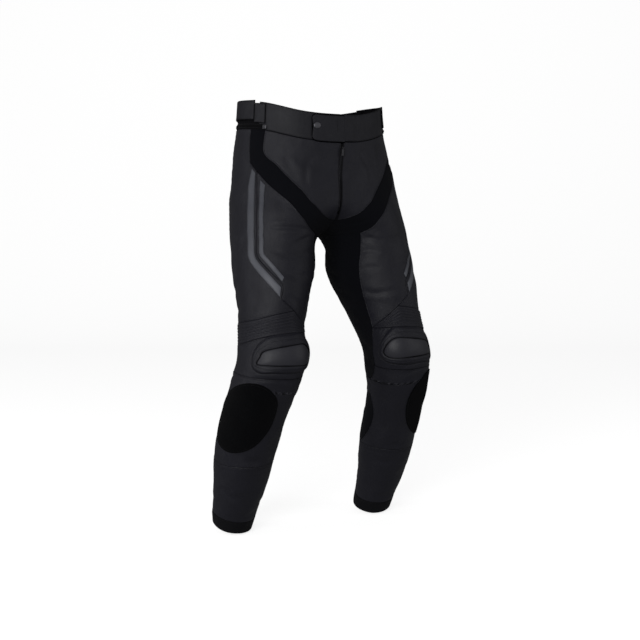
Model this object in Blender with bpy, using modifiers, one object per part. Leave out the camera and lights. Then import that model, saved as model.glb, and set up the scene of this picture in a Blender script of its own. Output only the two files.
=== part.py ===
# Leather motorcycle trousers, filled out as if worn, with knees cut for a riding bend.
# Metres, +Z up. The wearer faces -Y and the wearer's left is +X. The origin is in the middle
# of the waist, where the wearer holds the trousers up.
#
# Every cloth piece is a region of one surface. A place on it is (u, drop): u runs from the
# centre front (0) round the outer side to the centre back (1), and drop is the height below
# the waist level. Above the fork a half section ends on the plane x = 0. Below it the section
# closes into the tube of a leg, so there u may pass 0 or 1.
import math

import bmesh
import bpy
import numpy as np
from mathutils import Matrix, Vector
from mathutils.geometry import delaunay_2d_cdt

OBJECT_NAME = "leather_motorcycle_trousers"

# Walls and gaps
LEATHER = 0.0015
STRETCH = 0.0013
PATCH = 0.0020
STRIPE = 0.0012
BAND = 0.0026
CUP_PAD = 0.0070
KNEE_PAD = 0.0045
ACCORDION = 0.0030
GAP = 0.0003
SEAM = GAP / 2
FLY_SLIT_HALF = 0.0025

# Cutting lines, as drops below the waist level
WAIST_TOP = -0.022
WAIST_SEAM = 0.034
FLY_END = 0.213
V_TIP = 0.227
FORK = 0.255
HEM_SEAM = 0.862
HEM = 0.892
SIDE_U = 0.60
FORK_ROUND = 0.030
TURN_FADE = 0.050

# The sections of one leg, from the waist down. outer and inner are the X of the section's
# sides, mid_y its middle, front and back its depths either way, lean_y and lean_x how it tips,
# square how boxy it is (2 is an ellipse), and turn how far the toes turn out.
SECTION_COLUMNS = ("drop", "outer", "inner", "mid_y", "front", "back",
                   "lean_y", "lean_x", "square", "turn")
SECTIONS = (
    (-0.022, 0.163, -0.163, 0.005, 0.119, 0.116, 0.04, 0.00, 2.15, 0),
    (0.030, 0.167, -0.164, 0.005, 0.122, 0.120, 0.05, 0.00, 2.15, 0),
    (0.095, 0.178, -0.133, 0.000, 0.125, 0.130, 0.05, 0.00, 2.15, 0),
    (0.160, 0.187, -0.086, -0.009, 0.123, 0.134, 0.02, 0.00, 2.10, 0),
    (0.210, 0.193, -0.022, -0.020, 0.118, 0.126, -0.04, 0.02, 2.10, 0),
    (FORK, 0.198, FORK_ROUND, -0.031, 0.109, 0.113, -0.08, 0.03, 2.10, 0),
    (0.320, 0.202, 0.040, -0.046, 0.102, 0.100, -0.14, 0.05, 2.10, 6),
    (0.385, 0.205, 0.058, -0.066, 0.094, 0.090, -0.16, 0.07, 2.10, 11),
    (0.450, 0.209, 0.078, -0.085, 0.084, 0.076, -0.10, 0.09, 2.10, 10),
    (0.500, 0.217, 0.087, -0.102, 0.080, 0.067, 0.02, 0.09, 2.20, 6),
    (0.545, 0.226, 0.094, -0.098, 0.078, 0.062, 0.14, 0.09, 2.20, 6),
    (0.600, 0.235, 0.106, -0.080, 0.067, 0.058, 0.26, 0.08, 2.10, 8),
    (0.665, 0.241, 0.112, -0.052, 0.061, 0.056, 0.30, 0.07, 2.00, 10),
    (0.745, 0.241, 0.119, -0.020, 0.058, 0.052, 0.30, 0.07, 2.00, 10),
    (0.825, 0.233, 0.130, 0.011, 0.051, 0.046, 0.30, 0.08, 2.00, 10),
    (HEM, 0.224, 0.138, 0.038, 0.042, 0.041, 0.30, 0.08, 2.00, 10),
)

# The fly closes this far to the wearer's left of the middle.
FLY_SHIFT = {"x": 0.012, "half_width": 0.085, "y": -0.035, "y_fade": 0.050,
             "z": -0.140, "z_fade": 0.085}

# The waist edge dips at the centre front and the centre back.
FRONT_DIP = 0.022
BACK_DIP = 0.016
DIP_SPREAD = 0.38
DIP_FADE = (0.030, 0.150)

# Padding that lifts the cloth round the knee, fullest on the inner front.
KNEE_RISE = {"u": 0.13, "drop": 0.487, "half_u": 0.17, "half_drop": 0.055, "height": 0.011}

# Sampling: the cloth is cut into triangles of about this side.
MESH_STEP = 0.030
FINE_STEP = 0.015
U_METRES = 0.50

COLOURS = {
    "leather": ((0.017, 0.017, 0.020, 1), 0.45, 0.0),
    "cuff": ((0.010, 0.010, 0.012, 1), 0.60, 0.0),
    "stretch": ((0.005, 0.005, 0.007, 1), 0.85, 0.0),
    "patch": ((0.003, 0.003, 0.004, 1), 0.95, 0.0),
    "stripe": ((0.075, 0.075, 0.080, 1), 0.40, 0.0),
    "pad": ((0.026, 0.026, 0.028, 1), 0.32, 0.0),
    "elastic": ((0.004, 0.004, 0.005, 1), 0.90, 0.0),
    "metal": ((0.45, 0.45, 0.47, 1), 0.30, 1.0),
    "zip": ((0.006, 0.006, 0.007, 1), 0.60, 0.0),
}


# ---------------------------------------------------------------- the surface

def section_spline():
    """Second derivatives of a natural cubic spline through each column of SECTIONS."""
    table = np.array(SECTIONS, float)
    drops = table[:, 0]
    count = len(drops)
    step = np.diff(drops)
    matrix = np.eye(count)
    right = np.zeros((count, table.shape[1]))
    for i in range(1, count - 1):
        matrix[i, i - 1:i + 2] = step[i - 1], 2 * (step[i - 1] + step[i]), step[i]
        rise = (table[i + 1] - table[i]) / step[i]
        right[i] = 6 * (rise - (table[i] - table[i - 1]) / step[i - 1])
    return table, np.linalg.solve(matrix, right)


TABLE, BENDS = section_spline()


def section_at(drop):
    """The section's columns at each drop, as a dictionary of arrays."""
    drops = TABLE[:, 0]
    k = np.clip(np.searchsorted(drops, drop) - 1, 0, len(drops) - 2)
    span = (drops[k + 1] - drops[k])[..., None]
    above = (drop - drops[k])[..., None]
    below = (drops[k + 1] - drop)[..., None]
    value = (BENDS[k] * below ** 3 + BENDS[k + 1] * above ** 3) / (6 * span)
    value = value + (TABLE[k] / span - BENDS[k] * span / 6) * below
    value = value + (TABLE[k + 1] / span - BENDS[k + 1] * span / 6) * above
    return {name: value[..., i] for i, name in enumerate(SECTION_COLUMNS)}


def ease(x):
    x = np.clip(x, 0, 1)
    return x * x * (3 - 2 * x)


def surface(u, drop):
    """Points of the left half on the cloth's outer face, before any piece is lifted."""
    u, drop = np.broadcast_arrays(np.asarray(u, float), np.asarray(drop, float))
    s = section_at(drop)
    centre = (s["outer"] + s["inner"]) / 2
    half = (s["outer"] - s["inner"]) / 2
    power = 2 / s["square"]
    cut = np.clip((centre - FORK_ROUND) / half, -1, 1)
    start = np.arccos(np.sign(cut) * np.abs(cut) ** (1 / power))
    angle = np.pi + start + u * (2 * np.pi - 2 * start)
    side = half * np.sign(np.cos(angle)) * np.abs(np.cos(angle)) ** power
    depth = np.where(np.sin(angle) < 0, s["front"], s["back"])
    along = depth * np.sign(np.sin(angle)) * np.abs(np.sin(angle)) ** power
    turn = np.radians(s["turn"]) * ease((drop - FORK) / TURN_FADE)
    x_off = side * np.cos(turn) - along * np.sin(turn)
    y_off = side * np.sin(turn) + along * np.cos(turn)
    x = np.sqrt(np.maximum((centre + x_off) ** 2 - FORK_ROUND ** 2, 0))
    y = s["mid_y"] + y_off
    z = -drop + s["lean_y"] * y_off + s["lean_x"] * x_off
    front = FRONT_DIP * (1 + np.cos(np.pi * np.clip(u / DIP_SPREAD, 0, 1))) / 2
    back = BACK_DIP * (1 - np.cos(np.pi * np.clip(2 * u - 1, 0, 1))) / 2
    fade = ease((DIP_FADE[1] - drop) / (DIP_FADE[1] - DIP_FADE[0]))
    z = z - (front + back) * fade
    return np.stack([x, y, z], -1)


def to_fly(points):
    """Moves the front's middle to the wearer's left, where the fly closes. The move fades
    sideways, towards the back and towards the fork."""
    t = FLY_SHIFT
    x, y, z = points[:, 0], points[:, 1], points[:, 2]
    side = np.cos(np.pi / 2 * np.clip(x / t["half_width"], -1, 1)) ** 2
    move = t["x"] * side * ease((t["y"] - y) / t["y_fade"]) * ease((z - t["z"]) / t["z_fade"])
    return points + np.stack([move, move * 0, move * 0], -1)


def frame_at(u, drop):
    """The surface point, its outward normal, and its two unit tangents (round and down)."""
    u = np.asarray(u, float)
    drop = np.asarray(drop, float)
    small_u, small_d = 0.002, 0.001
    open_top = drop <= FORK
    low = np.where(open_top, np.maximum(u - small_u, 0), u - small_u)
    high = np.where(open_top, np.minimum(u + small_u, 1), u + small_u)
    point = surface(u, drop)
    round_ = surface(high, drop) - surface(low, drop)
    down = surface(u, drop + small_d) - surface(u, drop - small_d)
    normal = np.cross(round_, down)
    on_plane = open_top & ((u < 1e-6) | (u > 1 - 1e-6))
    normal[on_plane, 0] = 0
    normal /= np.linalg.norm(normal, axis=-1, keepdims=True)
    outward = np.where((normal * (point - mid_line(drop))).sum(-1) < 0, -1.0, 1.0)
    normal *= outward[..., None]
    k = KNEE_RISE
    across = ((u + 0.5) % 1.0 - 0.5 - k["u"]) / k["half_u"]
    reach = across ** 2 + ((drop - k["drop"]) / k["half_drop"]) ** 2
    rise = k["height"] * ease(1 - np.sqrt(reach))
    return point + normal * rise[..., None], normal


def mid_line(drop):
    """The middle of the section, to tell outwards from inwards."""
    s = section_at(np.asarray(drop, float))
    centre = (s["outer"] + np.maximum(s["inner"], 0)) / 2
    return np.stack([centre, s["mid_y"], -np.asarray(drop, float)], -1)


# ---------------------------------------------------------------- the seams

# Each seam runs between two junctions and is shared by the pieces on its two sides.
SEAMS = {
    "waist_front": [(0, WAIST_SEAM), (0.303, WAIST_SEAM)],
    "waist_v": [(0.303, WAIST_SEAM), (0.400, WAIST_SEAM)],
    "waist_hip": [(0.400, WAIST_SEAM), (SIDE_U, WAIST_SEAM)],
    "waist_seat": [(SIDE_U, WAIST_SEAM), (1, WAIST_SEAM)],
    "fly": [(0, WAIST_SEAM), (0, FLY_END)],
    "front_rise": [(0, FLY_END), (0, V_TIP)],
    "v_rise": [(0, V_TIP), (0, FORK)],
    "seat_rise": [(1, WAIST_SEAM), (1, FORK)],
    "v_inner": [(0.303, WAIST_SEAM), (0.309, 0.055), (0.309, 0.077), (0.285, 0.091),
                (0.234, 0.106), (0.133, 0.158), (0.096, 0.189), (0.062, 0.2125),
                (0.026, 0.2235), (0, V_TIP)],
    "v_outer_hip": [(0.400, WAIST_SEAM), (0.397, 0.068), (0.387, 0.103)],
    "v_outer_side": [(0.387, 0.103), (0.340, 0.121)],
    "v_outer_front": [(0.340, 0.121), (0.300, 0.137), (0.202, 0.182), (0.162, 0.218),
                      (0.148, 0.246), (0.140, 0.262)],
    "v_under": [(0, FORK), (0.040, 0.2565), (0.140, 0.262)],
    "seat_under": [(1, FORK), (0.960, 0.2565), (0.900, 0.262)],
    "stripe_seam": [(0.340, 0.121), (0.337, 0.150), (0.343, 0.189), (0.357, 0.218),
                    (0.3755, 0.246), (0.391, 0.257), (0.389, 0.270), (0.384, 0.291), (0.371, 0.309),
                    (0.350, 0.323), (0.304, 0.346), (0.254, 0.370), (0.252, 0.397)],
    "diagonal_outer": [(0.252, 0.397), (0.187, 0.417)],
    "diagonal_inner": [(0.187, 0.417), (0.120, 0.436), (0.050, 0.453)],
    "inner_front": [(0.140, 0.262), (0.100, 0.319), (0.066, 0.368), (0.052, 0.407),
                    (0.050, 0.453)],
    "inner_back": [(0.900, 0.262), (0.905, 0.320), (0.915, 0.400), (0.915, 0.490)],
    "side_upper": [(SIDE_U, WAIST_SEAM), (SIDE_U, 0.443)],
    "accordion_top": [(0.187, 0.417), (0.280, 0.426), (0.375, 0.435), (0.475, 0.439),
                      (SIDE_U, 0.443)],
    "accordion_end": [(SIDE_U, 0.443), (SIDE_U, 0.490)],
    "under_accordion_inner": [(0.050, 0.453), (0.100, 0.454), (0.145, 0.4545)],
    "under_accordion_cup": [(0.145, 0.4545), (0.200, 0.456), (0.300, 0.462)],
    "under_accordion_outer": [(0.300, 0.462), (0.385, 0.470), (0.478, 0.480),
                              (SIDE_U, 0.490)],
    "cup_round": [(0.300, 0.462), (0.355, 0.475), (0.388, 0.489), (0.402, 0.504),
                  (0.390, 0.519), (0.345, 0.526), (0.280, 0.523), (0.200, 0.522),
                  (0.125, 0.519), (0.078, 0.511), (0.064, 0.498), (0.090, 0.476),
                  (0.145, 0.4545)],
    "inner_knee": [(0.050, 0.453), (0.035, 0.485), (0.030, 0.510), (0.030, 0.528)],
    "knee_low": [(0.030, 0.528), (0.100, 0.530), (0.250, 0.533), (0.400, 0.537),
                 (SIDE_U, 0.545)],
    "side_knee": [(SIDE_U, 0.490), (SIDE_U, 0.545)],
    "seat_low": [(SIDE_U, 0.490), (0.750, 0.497), (0.915, 0.490)],
    "inner_low": [(0.030, 0.528), (0.012, 0.552), (-0.020, 0.566), (-0.060, 0.560)],
    "knee_back_inner": [(0.915, 0.490), (0.925, 0.530), (0.940, 0.560)],
    "calf_seam_upper": [(0.940, 0.560), (0.970, 0.580), (0.985, 0.600)],
    "calf_top": [(SIDE_U, 0.600), (0.800, 0.606), (0.985, 0.600)],
    "side_calf_top": [(SIDE_U, 0.545), (SIDE_U, 0.600)],
    "side_calf": [(SIDE_U, 0.600), (SIDE_U, 0.738)],
    "calf_seam": [(0.985, 0.600), (1.012, 0.622), (1.026, 0.650), (1.010, 0.685),
                  (0.965, 0.712), (0.925, 0.725)],
    "shin_seam": [(SIDE_U, 0.738), (0.420, 0.735), (0.330, 0.726), (0.235, 0.720),
                  (0.100, 0.718), (-0.075, 0.725)],
    "side_calf_low": [(SIDE_U, 0.738), (SIDE_U, 0.770)],
    "calf_seam_low": [(0.925, 0.725), (0.905, 0.765)],
    "calf_low_top": [(SIDE_U, 0.770), (0.750, 0.775), (0.905, 0.765)],
    "side_shin": [(SIDE_U, 0.770), (SIDE_U, HEM_SEAM)],
    "inner_shin": [(0.905, 0.765), (0.900, HEM_SEAM)],
    "cuff_shin": [(SIDE_U, HEM_SEAM), (-0.100, HEM_SEAM)],
    "cuff_calf": [(SIDE_U, HEM_SEAM), (0.900, HEM_SEAM)],
    "cuff_seam": [(0.900, HEM_SEAM), (0.900, HEM)],
    "hem": [(-0.100, HEM), (0.900, HEM)],
    "knee_panel": [(0.368, 0.511), (0.358, 0.500), (0.338, 0.489), (0.270, 0.481),
                   (0.200, 0.476), (0.148, 0.475), (0.110, 0.486), (0.094, 0.500),
                   (0.125, 0.508), (0.200, 0.509), (0.310, 0.511), (0.368, 0.511)],
}
SEAM_HALF_GAPS = {"fly": FLY_SLIT_HALF, "cup_round": 0.0003, "v_under": 0.0003, "seat_under": 0.0003}

# Each panel: its seams in order round its edge. "-" runs a seam backwards and "<" moves it
# once round the leg, for a piece that crosses the inside of the leg.
PANELS = {
    "front_panel": ("leather", LEATHER, ["waist_front", "v_inner", "-front_rise", "-fly"]),
    "v_band": ("stretch", STRETCH, ["waist_v", "v_outer_hip", "v_outer_side",
                                    "v_outer_front", "-v_under", "-v_rise", "-v_inner"]),
    "thigh_side": ("leather", LEATHER, ["waist_hip", "side_upper", "-accordion_top",
                                        "-diagonal_outer", "-stripe_seam",
                                        "-v_outer_side", "-v_outer_hip"]),
    "thigh_front": ("leather", LEATHER, ["stripe_seam", "diagonal_outer",
                                         "diagonal_inner", "-inner_front",
                                         "-v_outer_front"]),
    "seat": ("leather", LEATHER, ["waist_seat", "seat_rise", "seat_under", "inner_back",
                                  "-seat_low", "-accordion_end", "-side_upper"]),
    "inner_leg": ("stretch", STRETCH, ["v_under", "inner_front", "inner_knee", "inner_low",
                                       "<-knee_back_inner", "<-inner_back",
                                       "<-seat_under"]),
    "accordion": ("leather", ACCORDION, ["accordion_top", "accordion_end",
                                         "-under_accordion_outer",
                                         "-under_accordion_cup",
                                         "-under_accordion_inner", "-diagonal_inner"]),
    "knee_cup": ("leather", CUP_PAD, ["under_accordion_cup", "cup_round"]),
    "knee_panel": ("pad", KNEE_PAD, ["knee_panel"]),
    "knee_surround": ("leather", LEATHER, ["under_accordion_inner", "-cup_round",
                                           "under_accordion_outer", "side_knee",
                                           "-knee_low", "-inner_knee"]),
    "knee_back": ("leather", LEATHER, ["seat_low", "knee_back_inner", "calf_seam_upper",
                                       "-calf_top", "-side_calf_top", "-side_knee"]),
    "shin_upper": ("leather", LEATHER, ["knee_low", "side_calf_top", "side_calf",
                                        "shin_seam", "<-calf_seam",
                                        "<-calf_seam_upper", "-inner_low"]),
    "calf_stretch": ("stretch", STRETCH, ["calf_top", "calf_seam", "calf_seam_low",
                                          "-calf_low_top", "-side_calf_low",
                                          "-side_calf"]),
    "shin_lower": ("leather", LEATHER, ["-shin_seam", "side_calf_low", "side_shin",
                                        "cuff_shin", "<-inner_shin",
                                        "<-calf_seam_low"]),
    "calf_low": ("leather", LEATHER, ["calf_low_top", "inner_shin", "-cuff_calf",
                                      "-side_shin"]),
    "hem_cuff": ("cuff", BAND, ["-cuff_shin", "cuff_calf", "cuff_seam", "-hem",
                                "<-cuff_seam"]),
}
HOLES = {"knee_cup": "knee_panel"}
LIFTS = {"knee_cup": 0.0045, "knee_panel": 0.0025, "accordion": 0.0012, "hem_cuff": 0.0006}
FINE_SEAMS = {"fly", "cup_round", "knee_panel", "under_accordion_cup", "v_under",
              "seat_under", "inner_low"}

# Stripes: the outer and the inner edge of each, on the panel that it is sewn to.
STRIPES = {
    "stripe_outer": ("thigh_side",
                     [(0.369, 0.1150), (0.384, 0.139), (0.397, 0.184), (0.408, 0.218),
                      (0.4195, 0.245), (0.4295, 0.257), (0.428, 0.270), (0.422, 0.290), (0.408, 0.312),
                      (0.378, 0.333), (0.320, 0.364), (0.258, 0.393)],
                     [(0.347, 0.1250), (0.348, 0.149), (0.355, 0.184), (0.368, 0.218),
                      (0.3865, 0.246), (0.400, 0.2565), (0.3985, 0.271), (0.3925, 0.290), (0.380, 0.310),
                      (0.357, 0.326), (0.308, 0.351), (0.2605, 0.374)]),
    "stripe_inner": ("thigh_front",
                     [(0.318, 0.1390), (0.323, 0.161), (0.331, 0.189), (0.346, 0.218),
                      (0.3655, 0.246), (0.382, 0.257), (0.3785, 0.271), (0.3735, 0.290), (0.362, 0.307),
                      (0.341, 0.3195), (0.302, 0.3405), (0.260, 0.3630)],
                     [(0.292, 0.1500), (0.300, 0.171), (0.309, 0.194), (0.324, 0.219),
                      (0.3455, 0.246), (0.364, 0.2575), (0.3605, 0.272), (0.3555, 0.288), (0.347, 0.303),
                      (0.327, 0.315), (0.292, 0.334), (0.255, 0.3540)]),
}
# The hook-and-loop patch is an oval, leaning back a little as it goes down.
SLIDER = {"u": 0.372, "drop": 0.622, "half_u": 0.168, "half_drop": 0.077, "lean_u": 0.025}


def curve_points(corners, step):
    """Points about one step apart on a smooth curve through the corners."""
    pts = np.array(corners, float) * (U_METRES, 1)
    if len(pts) == 2:
        count = max(1, round(float(np.linalg.norm(pts[1] - pts[0])) / step))
        t = np.linspace(0, 1, count + 1)[:, None]
        return (pts[0] + (pts[1] - pts[0]) * t) / (U_METRES, 1)
    closed = np.allclose(pts[0], pts[-1])
    before = pts[-2] if closed else 2 * pts[0] - pts[1]
    after = pts[1] if closed else 2 * pts[-1] - pts[-2]
    ring = np.vstack([before, pts, after])
    out = [pts[0]]
    for i in range(len(pts) - 1):
        a, b, c, d = ring[i:i + 4]
        count = max(1, round(float(np.linalg.norm(c - b)) / step))
        for t in np.linspace(0, 1, count + 1)[1:]:
            out.append(0.5 * (2 * b + (c - a) * t + (2 * a - 5 * b + 4 * c - d) * t ** 2
                              + (3 * b - a - 3 * c + d) * t ** 3))
    return np.array(out) / (U_METRES, 1)


def seam_points(entry):
    """One seam as a panel uses it, with the half gap that it keeps."""
    name = entry.lstrip("<-")
    step = FINE_STEP if name in FINE_SEAMS else MESH_STEP
    if name.startswith("waist_"):
        places = stations(SEAMS[name][0][0], SEAMS[name][1][0])
        pts = np.array([(w, WAIST_SEAM) for w in places])
    else:
        pts = curve_points(SEAMS[name], step)
    if "-" in entry:
        pts = pts[::-1]
    if "<" in entry:
        pts = pts - (1, 0)
    return pts, SEAM_HALF_GAPS.get(name, SEAM)


def outline(entries):
    """A closed outline in (u, drop), and the half gap of the side that leaves each point."""
    corners, gaps = [], []
    for entry in entries:
        pts, gap = seam_points(entry)
        corners.extend(pts[:-1])
        gaps.extend([gap] * (len(pts) - 1))
    return np.array(corners), np.array(gaps)


def inside(points, polygon):
    """Which points lie inside a polygon, by counting the sides that a level line crosses."""
    hit = np.zeros(len(points), bool)
    ahead = np.roll(polygon, -1, axis=0)
    for (x0, y0), (x1, y1) in zip(polygon, ahead):
        if y0 != y1:
            spans = (y0 > points[:, 1]) != (y1 > points[:, 1])
            cross = (x1 - x0) * (points[:, 1] - y0) / (y1 - y0) + x0
            hit ^= spans & (points[:, 0] < cross)
    return hit


def triangulate(loops, step):
    """Triangles over the first loop, with the other loops as lines in the mesh."""
    flat = [np.array(loop) * (U_METRES, 1) for loop in loops]
    border = np.vstack(flat)
    low, high = flat[0].min(0), flat[0].max(0)
    rows = []
    for i, y in enumerate(np.arange(low[1] + step / 2, high[1], step * 0.87)):
        xs = np.arange(low[0] + (0.5 if i % 2 else 0.0) * step, high[0], step)
        rows.append(np.stack([xs, np.full_like(xs, y)], -1))
    grid = np.vstack(rows)
    grid = grid[inside(grid, flat[0])]
    away = np.sqrt(((grid[:, None] - border[None]) ** 2).sum(-1)).min(1)
    grid = grid[away > step * 0.62]
    edges = []
    first = 0
    for loop in flat:
        n = len(loop)
        edges += [(first + i, first + (i + 1) % n) for i in range(n)]
        first += n
    result = delaunay_2d_cdt([tuple(p) for p in np.vstack([border, grid])], edges, [], 0, 1e-7)
    points = np.array([tuple(p) for p in result[0]])
    faces = np.array(result[2])
    middle = points[faces].mean(1)
    faces = faces[inside(middle, flat[0])]
    return points / (U_METRES, 1), faces


# ---------------------------------------------------------------- walls

def half_gap_moves(pts, gaps):
    """For each point of an outline, the move into the piece that leaves its seams' gaps."""
    point, normal = frame_at(pts[:, 0], pts[:, 1])
    side = np.roll(point, -1, axis=0) - point
    side -= normal * (side * normal).sum(-1, keepdims=True)
    side /= np.linalg.norm(side, axis=-1, keepdims=True)
    inward = np.cross(side, normal)
    before = np.roll(inward, 1, axis=0)
    gap_before = np.roll(gaps, 1)
    area = signed_area(pts * (U_METRES, 1))
    sign = 1.0 if area * turn_sign(pts) > 0 else -1.0
    cosine = (inward * before).sum(-1)
    moves = np.zeros_like(point)
    for i in range(len(pts)):
        c = max(cosine[i], -0.9)
        if c > 0.995:
            moves[i] = inward[i] * max(gaps[i], gap_before[i])
            continue
        a = (gaps[i] - c * gap_before[i]) / (1 - c * c)
        b = (gap_before[i] - c * gaps[i]) / (1 - c * c)
        moves[i] = inward[i] * a + before[i] * b
    return moves * sign


def signed_area(flat):
    ahead = np.roll(flat, -1, axis=0)
    return float((flat[:, 0] * ahead[:, 1] - ahead[:, 0] * flat[:, 1]).sum() / 2)


def turn_sign(pts):
    """+1 where (round, down, outward) is right-handed on this half, else -1."""
    small = 0.002
    here = pts.mean(0)
    p0, n0 = frame_at(here[:1], here[1:])
    p1, _ = frame_at(here[:1] + small, here[1:])
    p2, _ = frame_at(here[:1], here[1:] + small)
    handed = np.dot(np.cross(p1[0] - p0[0], p2[0] - p0[0]), n0[0])
    return -1.0 if handed > 0 else 1.0


def add_object(name, vertices, faces, finish):
    """A mesh object with its material, in the trousers' collection."""
    mesh = bpy.data.meshes.new(name)
    mesh.from_pydata([tuple(v) for v in vertices], [], [tuple(int(i) for i in f) for f in faces])
    mesh.update()
    bm = bmesh.new()
    bm.from_mesh(mesh)
    bmesh.ops.recalc_face_normals(bm, faces=bm.faces)
    if bm.calc_volume(signed=True) < 0:
        bmesh.ops.reverse_faces(bm, faces=bm.faces)
    bm.to_mesh(mesh)
    bm.free()
    obj = bpy.data.objects.new(name, mesh)
    collection.objects.link(obj)
    paint(obj, finish)
    return obj


def paint(obj, finish):
    """Give the object its own Principled BSDF material."""
    colour, roughness, metallic = COLOURS[finish]
    material = bpy.data.materials.new(obj.name)
    material.use_nodes = True
    shader = material.node_tree.nodes["Principled BSDF"]
    shader.inputs["Base Color"].default_value = colour
    shader.inputs["Roughness"].default_value = roughness
    shader.inputs["Metallic"].default_value = metallic
    obj.data.materials.append(material)


def close_wall(name, outer, inner, faces, finish):
    """A wall between two faces that share their triangles, closed round every edge."""
    count = len(outer)
    sides = {}
    for a, b, c in faces:
        for edge in ((a, b), (b, c), (c, a)):
            sides[edge] = True
    rim = [e for e in sides if (e[1], e[0]) not in sides]
    out = [tuple(f) for f in faces]
    out += [(c + count, b + count, a + count) for a, b, c in faces]
    for a, b in rim:
        out.append((b, a, a + count))
        out.append((b, a + count, b + count))
    used = sorted({i for f in out for i in f})
    place = {old: new for new, old in enumerate(used)}
    vertices = to_fly(np.vstack([outer, inner])[used])
    return add_object(name, vertices, [[place[i] for i in f] for f in out], finish)


def both_sides(name, outer, inner, faces, finish):
    """The piece on the wearer's left (+X), and its mirror image on the right."""
    close_wall(name + "_L", outer, inner, faces, finish)
    mirror = np.array([-1, 1, 1])
    close_wall(name + "_R", outer * mirror, inner * mirror, [f[::-1] for f in faces], finish)


def make_panel(name, overlays):
    """A panel of cloth, and what is sewn on top of it, from the same triangles."""
    finish, wall, entries = PANELS[name]
    edge, gaps = outline(entries)
    loops = [edge] + [shape for _, shape, _, _ in overlays]
    hole = HOLES.get(name)
    if hole:
        hole_edge, hole_gaps = outline([hole])
        loops.append(hole_edge)
    step = FINE_STEP if name in ("knee_cup", "knee_panel") else MESH_STEP
    pts, faces = triangulate(loops, step)
    if hole:
        middle = pts[faces].mean(1)
        faces = faces[~inside(middle * (U_METRES, 1), hole_edge * (U_METRES, 1))]
    lift = LIFTS.get(name, 0.0)
    middle = pts[faces].mean(1) * (U_METRES, 1)
    base, normal = frame_at(pts[:, 0], pts[:, 1])
    base[:len(edge)] += half_gap_moves(pts[:len(edge)], gaps)
    if hole:
        first = sum(len(loop) for loop in loops[:-1])
        span = slice(first, first + len(hole_edge))
        base[span] -= half_gap_moves(pts[span], hole_gaps)
    top = base + normal * lift
    both_sides(name, top, top - normal * wall, faces, finish)
    for overlay, shape, thick, kind in overlays:
        mine = faces[inside(middle, np.array(shape) * (U_METRES, 1))]
        low = top + normal * GAP
        both_sides(overlay, low + normal * thick, low, mine, kind)


def stripe_outline(outer, inner):
    """A bent stripe: down its outer edge and back up its inner one."""
    return np.vstack([curve_points(outer, MESH_STEP), curve_points(inner, MESH_STEP)[::-1]])


def slider_outline():
    t = np.linspace(0, 2 * np.pi, 29)[:-1]
    u = SLIDER["u"] + SLIDER["half_u"] * np.cos(t) + SLIDER["lean_u"] * np.sin(t)
    return np.stack([u, SLIDER["drop"] + SLIDER["half_drop"] * np.sin(t)], -1)


# ---------------------------------------------------------------- waist pieces

def strip(name, across, top, bottom, lift, wall, finish, rows=3):
    """A strip along the waist. across lists places from the right side to the left: below 0
    is the wearer's right. top, bottom and lift are functions of a place."""
    count = len(across)
    t = np.linspace(0, 1, rows + 1)
    outer, inner = [], []
    for w in across:
        u = abs(w) if abs(w) <= 1 else 2 - abs(w)
        drops = top(w) + (bottom(w) - top(w)) * t
        point, normal = frame_at(np.full(rows + 1, u), drops)
        flip = np.array([-1 if w < 0 or w > 1 else 1, 1, 1])
        point, normal = point * flip, normal * flip
        outer.append(point + normal * lift(w))
        inner.append(point + normal * (lift(w) - wall))
    outer = np.array(outer).reshape(-1, 3)
    inner = np.array(inner).reshape(-1, 3)
    faces = []
    for i in range(count - 1):
        for j in range(rows):
            a = i * (rows + 1) + j
            b = a + rows + 1
            faces += [(a, a + 1, b + 1), (a, b + 1, b)]
    return close_wall(name, outer, inner, faces, finish)


WAIST_STATIONS = 36
BAND_FRONT_END = 0.345
BAND_BACK_START = 0.620
STRAP_START, STRAP_END = 0.3758, 0.665
STRAP_TOP, STRAP_BOTTOM = -0.025, 0.015
BASE_START, BASE_END = 0.302, 0.3750
BASE_TOP, BASE_BOTTOM = -0.019, 0.021
ELASTIC_TOP = -0.010
TAB_END_R, TAB_END_L = 0.0781, 0.0008
TAB_TOP, TAB_BOTTOM = -0.020, 0.0365
TAB_ROUND = 0.010
CONNECTION_START = 0.318
CONNECTION_TOP, CONNECTION_BOTTOM = 0.0225, 0.0325
CONNECTION_WALL = 0.0016
FLY_TAPE_HALF = 0.012
FLY_TAPE_LIFT = -0.0029
FLY_TAPE_WALL = 0.0010
FLY_TAPE_TOP, FLY_TAPE_BOTTOM = 0.0355, 0.2125
END_TAB = {"half": 0.0035, "top": 0.2140, "bottom": 0.2265, "wall": 0.0012}

# Small hardware
SNAP = {"u": 0.0594, "drop": 0.004, "radius": 0.0062, "height": 0.0024}
STOP = {"u": 0.304, "drop": 0.0282, "size": (0.0080, 0.0075, 0.0036), "bevel": 0.0008}
ZIP_SLIDER = {"drop": 0.0520, "width": 0.0044, "length": 0.0110, "height": 0.0047,
              "bevel": 0.0005, "lug": 0.0009, "lug_length": 0.0032, "lug_height": 0.0026,
              "pin_radius": 0.0005, "pin_height": 0.0017}
PULL = {"eye_radius": 0.0014, "hole_radius": 0.0008, "width": 0.0020, "plate_width": 0.0050,
        "plate_length": 0.0130, "thickness": 0.0012, "neck": 0.0040}


def stations(start, end):
    """Places round the waist from start to end, on stations that every strip shares."""
    inner = [k / WAIST_STATIONS for k in range(-2 * WAIST_STATIONS, 2 * WAIST_STATIONS + 1)]
    inner = [w for w in inner if start + 0.004 < w < end - 0.004]
    return [start] + inner + [end]


def flat(value):
    return lambda place: value


def strap_lift(w):
    """The strap stands off the elastic between its two sewn ends."""
    t = (abs(w) - STRAP_START) / (STRAP_END - STRAP_START)
    return GAP + BAND + 0.0035 * math.sin(math.pi * min(max(t, 0), 1)) ** 2


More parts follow.
